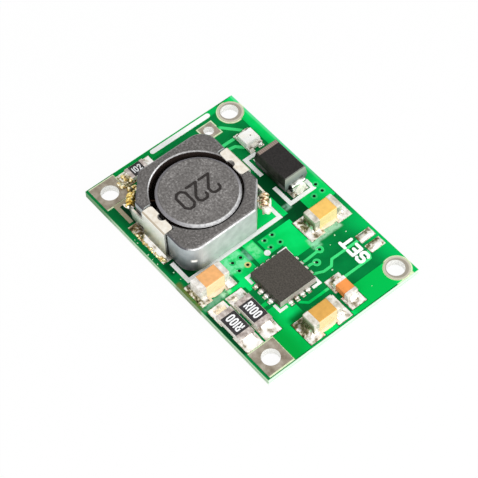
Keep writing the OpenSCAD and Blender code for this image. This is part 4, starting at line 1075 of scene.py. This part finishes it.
# %% Pen strokes
PEN_CORNERS = 14
PEN_LINES = {
    "0": [[(0.3, 0), (0, 0.17), (0, 0.83), (0.3, 1), (0.7, 1), (1, 0.83), (1, 0.17), (0.7, 0),
           (0.3, 0)]],
    "1": [[(0, 0), (0, 1)]],
    "2": [[(0, 0.76), (0.04, 0.9), (0.22, 1), (0.75, 1), (0.96, 0.87), (0.92, 0.64), (0, 0),
           (1, 0)]],
    "R": [[(0, 0), (0, 1), (0.7, 1), (1, 0.86), (1, 0.62), (0.7, 0.48), (0, 0.48)],
          [(0.5, 0.48), (1, 0)]],
    "S": [[(0, 0.14), (0.2, 0), (0.8, 0), (1, 0.14), (1, 0.36), (0.8, 0.5), (0.2, 0.5), (0, 0.64),
           (0, 0.86), (0.2, 1), (0.8, 1), (1, 0.86)]],
    "E": [[(1, 0), (0, 0), (0, 1), (1, 1)], [(0, 0.5), (0.7, 0.5)]],
    "T": [[(0, 1), (1, 1)], [(0.5, 0), (0.5, 1)]],
}


def stroke(bm, first, last, pen_mm, thick_mm):
    """A flat stroke of ink with round ends between two places in millimetres."""
    rings = []
    for spot in (first, last):
        for level in (0.0, thick_mm):
            centre = Matrix.Translation(Vector((spot[0], spot[1], level)) * MM)
            ring = bmesh.ops.create_circle(bm, segments=PEN_CORNERS, radius=pen_mm * MM / 2,
                                           matrix=centre)
            rings += ring["verts"]
    hull = bmesh.ops.convex_hull(bm, input=rings)
    bmesh.ops.delete(bm, geom=list(set(hull["geom_interior"])), context="VERTS")


print("letters drawn:", " ".join(PEN_LINES))

# %% [markdown]
# A word is its letters side by side, about its middle, then turned and laid on a top face. Strokes
# that meet share the same height, and two faces in one plane would flicker, so each stroke is a
# hair thicker than the one before. Each word becomes one piece that rides on the body and takes the
# slot of ink.

# %% Words of ink
INK_MM = 0.012
LAYERS = 5
LAYER_MM = 0.0006


def ink_piece(name, bm, at, turn, material):
    """Turns and places the strokes, and makes them a piece of ink."""
    bmesh.ops.rotate(bm, verts=bm.verts, matrix=Matrix.Rotation(math.radians(turn), 3, "Z"))
    bmesh.ops.translate(bm, verts=bm.verts, vec=at)
    bmesh.ops.recalc_face_normals(bm, faces=bm.faces)
    shape = bpy.data.meshes.new(name)
    bm.to_mesh(shape)
    bm.free()
    shape.materials.append(material)
    piece = bpy.data.objects.new(name, shape)
    bpy.context.scene.collection.objects.link(piece)
    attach(piece, "root")
    return piece


def figures(name, words, letter_mm, gap_mm, pen_mm, at, turn, material, thick_mm=INK_MM):
    """A word: the size of a letter, the gap, the pen, and the middle of the underside."""
    wide, tall = letter_mm[0] - pen_mm, letter_mm[1] - pen_mm
    widths = [0.0 if letter == "1" else wide for letter in words]
    along = -(sum(widths) + (len(words) - 1) * (pen_mm + gap_mm)) / 2
    bm = bmesh.new()
    layer = 0
    for letter, width in zip(words, widths):
        for line in PEN_LINES[letter]:
            spots = [(along + x * width, (y - 0.5) * tall) for x, y in line]
            for first, last in zip(spots, spots[1:]):
                layer = (layer + 1) % LAYERS
                stroke(bm, first, last, pen_mm, thick_mm + LAYER_MM * layer)
        along += width + pen_mm + gap_mm
    return ink_piece(name, bm, at, turn, material)


def top_middle(node):
    """The middle of a node's top face."""
    middle, half = box_mm(node)
    return Vector((middle.x, middle.y, middle.z + half.z)) * MM


print("ink", INK_MM, "mm thick, in", LAYERS, "layers")

# %% [markdown]
# These are the figures themselves: the inductor's value in dark ink, the word at the jumper in the
# board's white ink, and the resistors' values in a finer white. They could be painted with masks,
# but a mask for each letter would make the finishes very long. One corner line beside the
# controller is drawn with the same pen.

# %% Printed figures
DRUM_OFF_MM = (0.1, -0.12, 0)
WORD_PLACE_MM = (7.68, 5.65, BOARD_MM)
CORNER_LINE_MM = ((3.6, 0.36), (3.6, 1.2))

dark_ink = mottled("dark_ink", [(0.35, (34, 31, 30)), (0.65, (56, 52, 50))], grain_mm=0.14,
                   roughness=0.6, bump_mm=0.004, bump_grain=0.06, gloss=0.15)
chip_ink = mottled("chip_ink", [(0.35, (236, 238, 240)), (0.65, (254, 254, 254))], grain_mm=0.14,
                   roughness=0.55, bump_mm=0.004, bump_grain=0.06)
on_drum = top_middle("drum_core") + Vector(DRUM_OFF_MM) * MM
written = [
    figures("inductor_value", "220", letter_mm=(1.28, 2.24), gap_mm=0.12, pen_mm=0.26,
            at=on_drum, turn=-90, material=dark_ink),
    figures("jumper_word", "SET", letter_mm=(0.97, 1.32), gap_mm=0.06, pen_mm=0.29,
            at=Vector(WORD_PLACE_MM) * MM, turn=180, material=ink, thick_mm=0.058),
]
for resistor, turn in (("sense_upper", 0), ("sense_lower", 180)):
    written.append(figures(
        resistor + "_value", "R100", letter_mm=(0.42, 0.94), gap_mm=0.08, pen_mm=0.145,
        at=top_middle(resistor + "_coat"), turn=turn, material=chip_ink))
written.append(figures(
    "led_resistor_value", "102", letter_mm=(0.34, 0.66), gap_mm=0.07, pen_mm=0.11,
    at=top_middle("led_resistor_coat"), turn=90, material=chip_ink))
corner = bmesh.new()
stroke(corner, *CORNER_LINE_MM, pen_mm=0.22, thick_mm=0.05)
written.append(ink_piece("controller_corner_line", corner, (0, 0, BOARD_MM * MM), 0, ink))
print("in ink:", ", ".join(piece.name for piece in written))

# %% [markdown]
# Hand soldering leaves drops of flux and of solder. A sphere alone would look like a ball bearing.
# Each drop here starts as an icosphere and is pushed in and out by a noise, which the drop's number
# and the length of the piece's name move, so that no two drops are alike. Then it is drawn to its
# length, width and height, and cut flat where it lies on something.

# %% Drops
ICO_STEPS = 3
SWELL = 0.28
RIPPLE_SCALE = 2.2
RIPPLE_SHIFT = 5.3


def drops(name, material, spots, lie=True):
    """Uneven drops in one mesh: each spot is a place, a length, width and height, and a turn."""
    whole = bmesh.new()
    shape = bpy.data.meshes.new(name)
    for number, (at, size, turn) in enumerate(spots):
        bm = bmesh.new()
        bmesh.ops.create_icosphere(bm, subdivisions=ICO_STEPS, radius=0.5)
        shift = Vector((number * RIPPLE_SHIFT, len(name), 0))
        for v in bm.verts:
            v.co *= 1.0 + SWELL * ripple.noise(v.co * RIPPLE_SCALE + shift)
            if lie:
                v.co.z = max(v.co.z, 0.0)
        tall = 2.0 if lie else 1.0
        bmesh.ops.scale(bm, verts=bm.verts,
                        vec=(size[0] * MM, size[1] * MM, size[2] * tall * MM))
        bmesh.ops.rotate(bm, verts=bm.verts, matrix=Matrix.Rotation(math.radians(turn), 3, "Z"))
        bmesh.ops.translate(bm, verts=bm.verts, vec=Vector(at) * MM)
        for face in bm.faces:
            face.smooth = True
        bm.to_mesh(shape)
        whole.from_mesh(shape)
        bm.free()
    bmesh.ops.recalc_face_normals(whole, faces=whole.faces)
    whole.to_mesh(shape)
    whole.free()
    shape.materials.append(material)
    piece = bpy.data.objects.new(name, shape)
    bpy.context.scene.collection.objects.link(piece)
    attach(piece, "root")
    return piece


print("a drop swells by up to", SWELL, "of its size")

# %% [markdown]
# Beads of clear flux lie along the front edge and beside the tracks. Small pale beads on the rings
# of some vias are painted highlights, where the mask dips into the hole. Scattering them at random
# would be quicker, but the eye compares them with the photo, so each has its place, and only widths
# and turns follow its number. A bead near the edge is kept small enough to stay on the board.

# %% Beads of flux
HALF_BOARD_MM = 8.5
ON_BOARD = 0.9
BEAD_WIDE_MM, BEAD_STEP_MM, BEAD_TALL_MM = 0.10, 0.04, 0.05
BEAD_SLIM = 0.8
BEAD_TURN = 40
VIA_BEAD_MM = (0.16, 0.13, 0.04)
VIA_BEAD_OFF_MM = (0.14, 0.16)
VIA_BEAD_Z_MM = 0.83
FLUX_BEADS = ((-5.71, -8.33), (-5.3, -8.35), (-3.71, -8.4), (-3.04, -8.43), (-2.39, -8.38),
              (-0.79, -7.85), (0.14, -7.84), (5.7, 6.38), (5.35, 5.36), (5.88, 4.39),
              (11.45, 4.29), (7.97, 2.81))
GLINTED_VIAS = ((1.75, 1.2), (2.7, 0.25), (1.8, 0.3), (5.65, 3.35), (6.51, 2.27), (1.8, -3.35),
                (2.8, -3.4))

flux_and_glint = mottled("flux_and_glint", [(0.3, (150, 206, 160)), (0.7, (216, 240, 210))], grain_mm=0.2,
                     roughness=0.15, bump_mm=0.01, bump_grain=0.1, coat=0.4)
beads = []
for number, (x, y) in enumerate(FLUX_BEADS):
    wide = BEAD_WIDE_MM + BEAD_STEP_MM * (number % 3)
    wide = min(wide, 2 * (HALF_BOARD_MM - abs(y)) * ON_BOARD)
    size = (wide, wide * BEAD_SLIM, BEAD_TALL_MM)
    beads.append(((x, y, BOARD_MM), size, BEAD_TURN * number))
# Painted highlights: pale beads on the rings of some vias.
for x, y in GLINTED_VIAS:
    at = (x - VIA_BEAD_OFF_MM[0], y - VIA_BEAD_OFF_MM[1], VIA_BEAD_Z_MM)
    beads.append((at, VIA_BEAD_MM, BEAD_TURN))
drops("flux_beads", flux_and_glint, beads)
print(len(beads), "beads of flux")

# %% [markdown]
# Golden lumps of solder and flux lie between the indicator's resistor and the left square pad, and
# in a row along the land in front of the inductor. One long bead would look squeezed from a tube.
# So a table places the lumps at the pad and at the row's end, and a loop lays the row, with widths,
# heights and turns that change from one to the next.

# %% Golden lumps
ROW_LUMPS = 13
ROW_START_MM = (-6.15, -7.93, 0.85)
ROW_STEP_MM = 0.31
ROW_SWAY_MM = 0.06
LUMP_WIDE_MM, LUMP_WIDER_MM = 0.26, 0.07
LUMP_TALL_MM, LUMP_TALLER_MM = 0.16, 0.03
LUMP_SLIM = 0.75
LUMP_TURN = 37

golden_solder = mottled(
    "golden_solder", [(0.32, (112, 84, 34)), (0.45, (206, 176, 104)), (0.56, (246, 232, 186)),
                      (0.68, (254, 251, 238))],
    grain_mm=0.4, roughness=0.18, bump_mm=0.03, bump_grain=0.2, metallic=0.8)
lumps = [
    ((-11.75, -5.02, 1.0), (0.56, 0.40, 0.24), 20),
    ((-11.3, -5.05, 1.0), (0.46, 0.36, 0.26), 60),
    ((-10.95, -4.70, 1.1), (0.66, 0.44, 0.30), -30),
    ((-11.42, -5.75, 0.86), (0.52, 0.38, 0.18), 10),
    ((-10.92, -5.66, 0.86), (0.60, 0.42, 0.26), 50),
    ((-10.3, -5.42, 0.86), (0.66, 0.46, 0.40), -20),
    ((-10.22, -4.9, 0.8), (0.72, 0.48, 0.42), 40),
    ((-9.75, -5.3, 0.8), (0.56, 0.44, 0.46), 80),
    ((-2.3, -7.72, 0.86), (0.52, 0.44, 0.34), 30),
    ((-2.62, -7.8, 0.86), (0.44, 0.4, 0.28), 75),
]
for number in range(ROW_LUMPS):
    along = ROW_START_MM[0] + ROW_STEP_MM * number
    across = ROW_START_MM[1] + ROW_SWAY_MM * (number % 2)
    wide = LUMP_WIDE_MM + LUMP_WIDER_MM * (number * 5 % 3)
    tall = LUMP_TALL_MM + LUMP_TALLER_MM * (number % 4)
    size = (wide, wide * LUMP_SLIM, tall)
    lumps.append(((along, across, ROW_START_MM[2]), size, LUMP_TURN * number))
drops("golden_lumps", golden_solder, lumps)
print(len(lumps), "golden lumps,", ROW_LUMPS, "of them in a row")

# %% [markdown]
# More drops hang on the wires themselves: two golden ones and a long one of solder at the front
# wire, a bright clot with a spike at the back wire, and a mound on the diode's lead. Those on the
# wires are round all over, and the mound lies flat. They are pieces of their own, because their
# metals differ.

# %% Solder on the wires
bright_solder = mottled(
    "bright_solder", [(0.3, (226, 218, 202)), (0.5, (250, 246, 236)), (0.7, (255, 254, 250))],
    grain_mm=0.5, roughness=0.4, bump_mm=0.02, bump_grain=0.3, metallic=0.12, gloss=0.2)
front_drops = [
    ((-8.2, -6.3, 3.2), (0.46, 0.34, 0.28), -50),
    ((-8.5, -5.7, 3.1), (0.48, 0.38, 0.30), 10),
]
long_drop = [((-7.68, -7.28, 2.86), (1.10, 0.38, 0.34), 35)]
back_clot = [
    ((0.42, 1.76, 2.75), (0.95, 0.80, 0.62), 20),
    ((0.16, 2.2, 2.72), (0.5, 0.5, 0.4), 0),
    ((0.15, 2.38, 3.0), (0.2, 0.2, 0.95), 0),
    ((-0.9, 2.5, 3.1), (0.4, 0.3, 0.3), -40),
]
lead_mound = [((-0.42, 6.2, 0.86), (0.95, 1.35, 1.22), 0)]
soldered = [
    drops("front_wire_drops", golden_solder, front_drops, lie=False),
    drops("front_wire_solder", solder, long_drop, lie=False),
    drops("back_wire_solder", bright_solder, back_clot, lie=False),
    drops("anode_solder", bright_solder, lead_mound),
]
print("drops:", ", ".join(piece.name for piece in soldered))

# %% [markdown]
# A pale skirt stands at the foot of the three large capacitors, on the side towards the lamp: it is
# partly dried flux and partly a painted highlight along the foot. A chamfer on the ceramic would be
# too sharp. A long, low drop, half inside the block, gives the soft foot, and its place is measured
# from the block.

# %% Skirts of flux
SKIRT_WIDE_MM = {"upper_capacitor": 0.62, "right_capacitor": 0.8, "lower_capacitor": 0.8}
SKIRT_LONG_MM = 2.2
SKIRT_TALL_MM = 0.3
SKIRT_INSET_MM = 0.05

flux_and_sheen = mottled("flux_and_sheen", [(0.3, (232, 206, 172)), (0.7, (246, 226, 198))], grain_mm=0.4,
                     roughness=0.4, bump_mm=0.01, bump_grain=0.1, gloss=0.15)
# Partly dried flux, partly a painted highlight along the foot.
skirts = []
for chip, wide in SKIRT_WIDE_MM.items():
    middle, half = box_mm(chip + "_body")
    foot = (middle.x + half.x - SKIRT_INSET_MM, middle.y, BOARD_MM)
    skirts.append((foot, (wide, SKIRT_LONG_MM, SKIRT_TALL_MM), 0))
drops("flux_skirts", flux_and_sheen, skirts)
print(len(skirts), "skirts of flux")
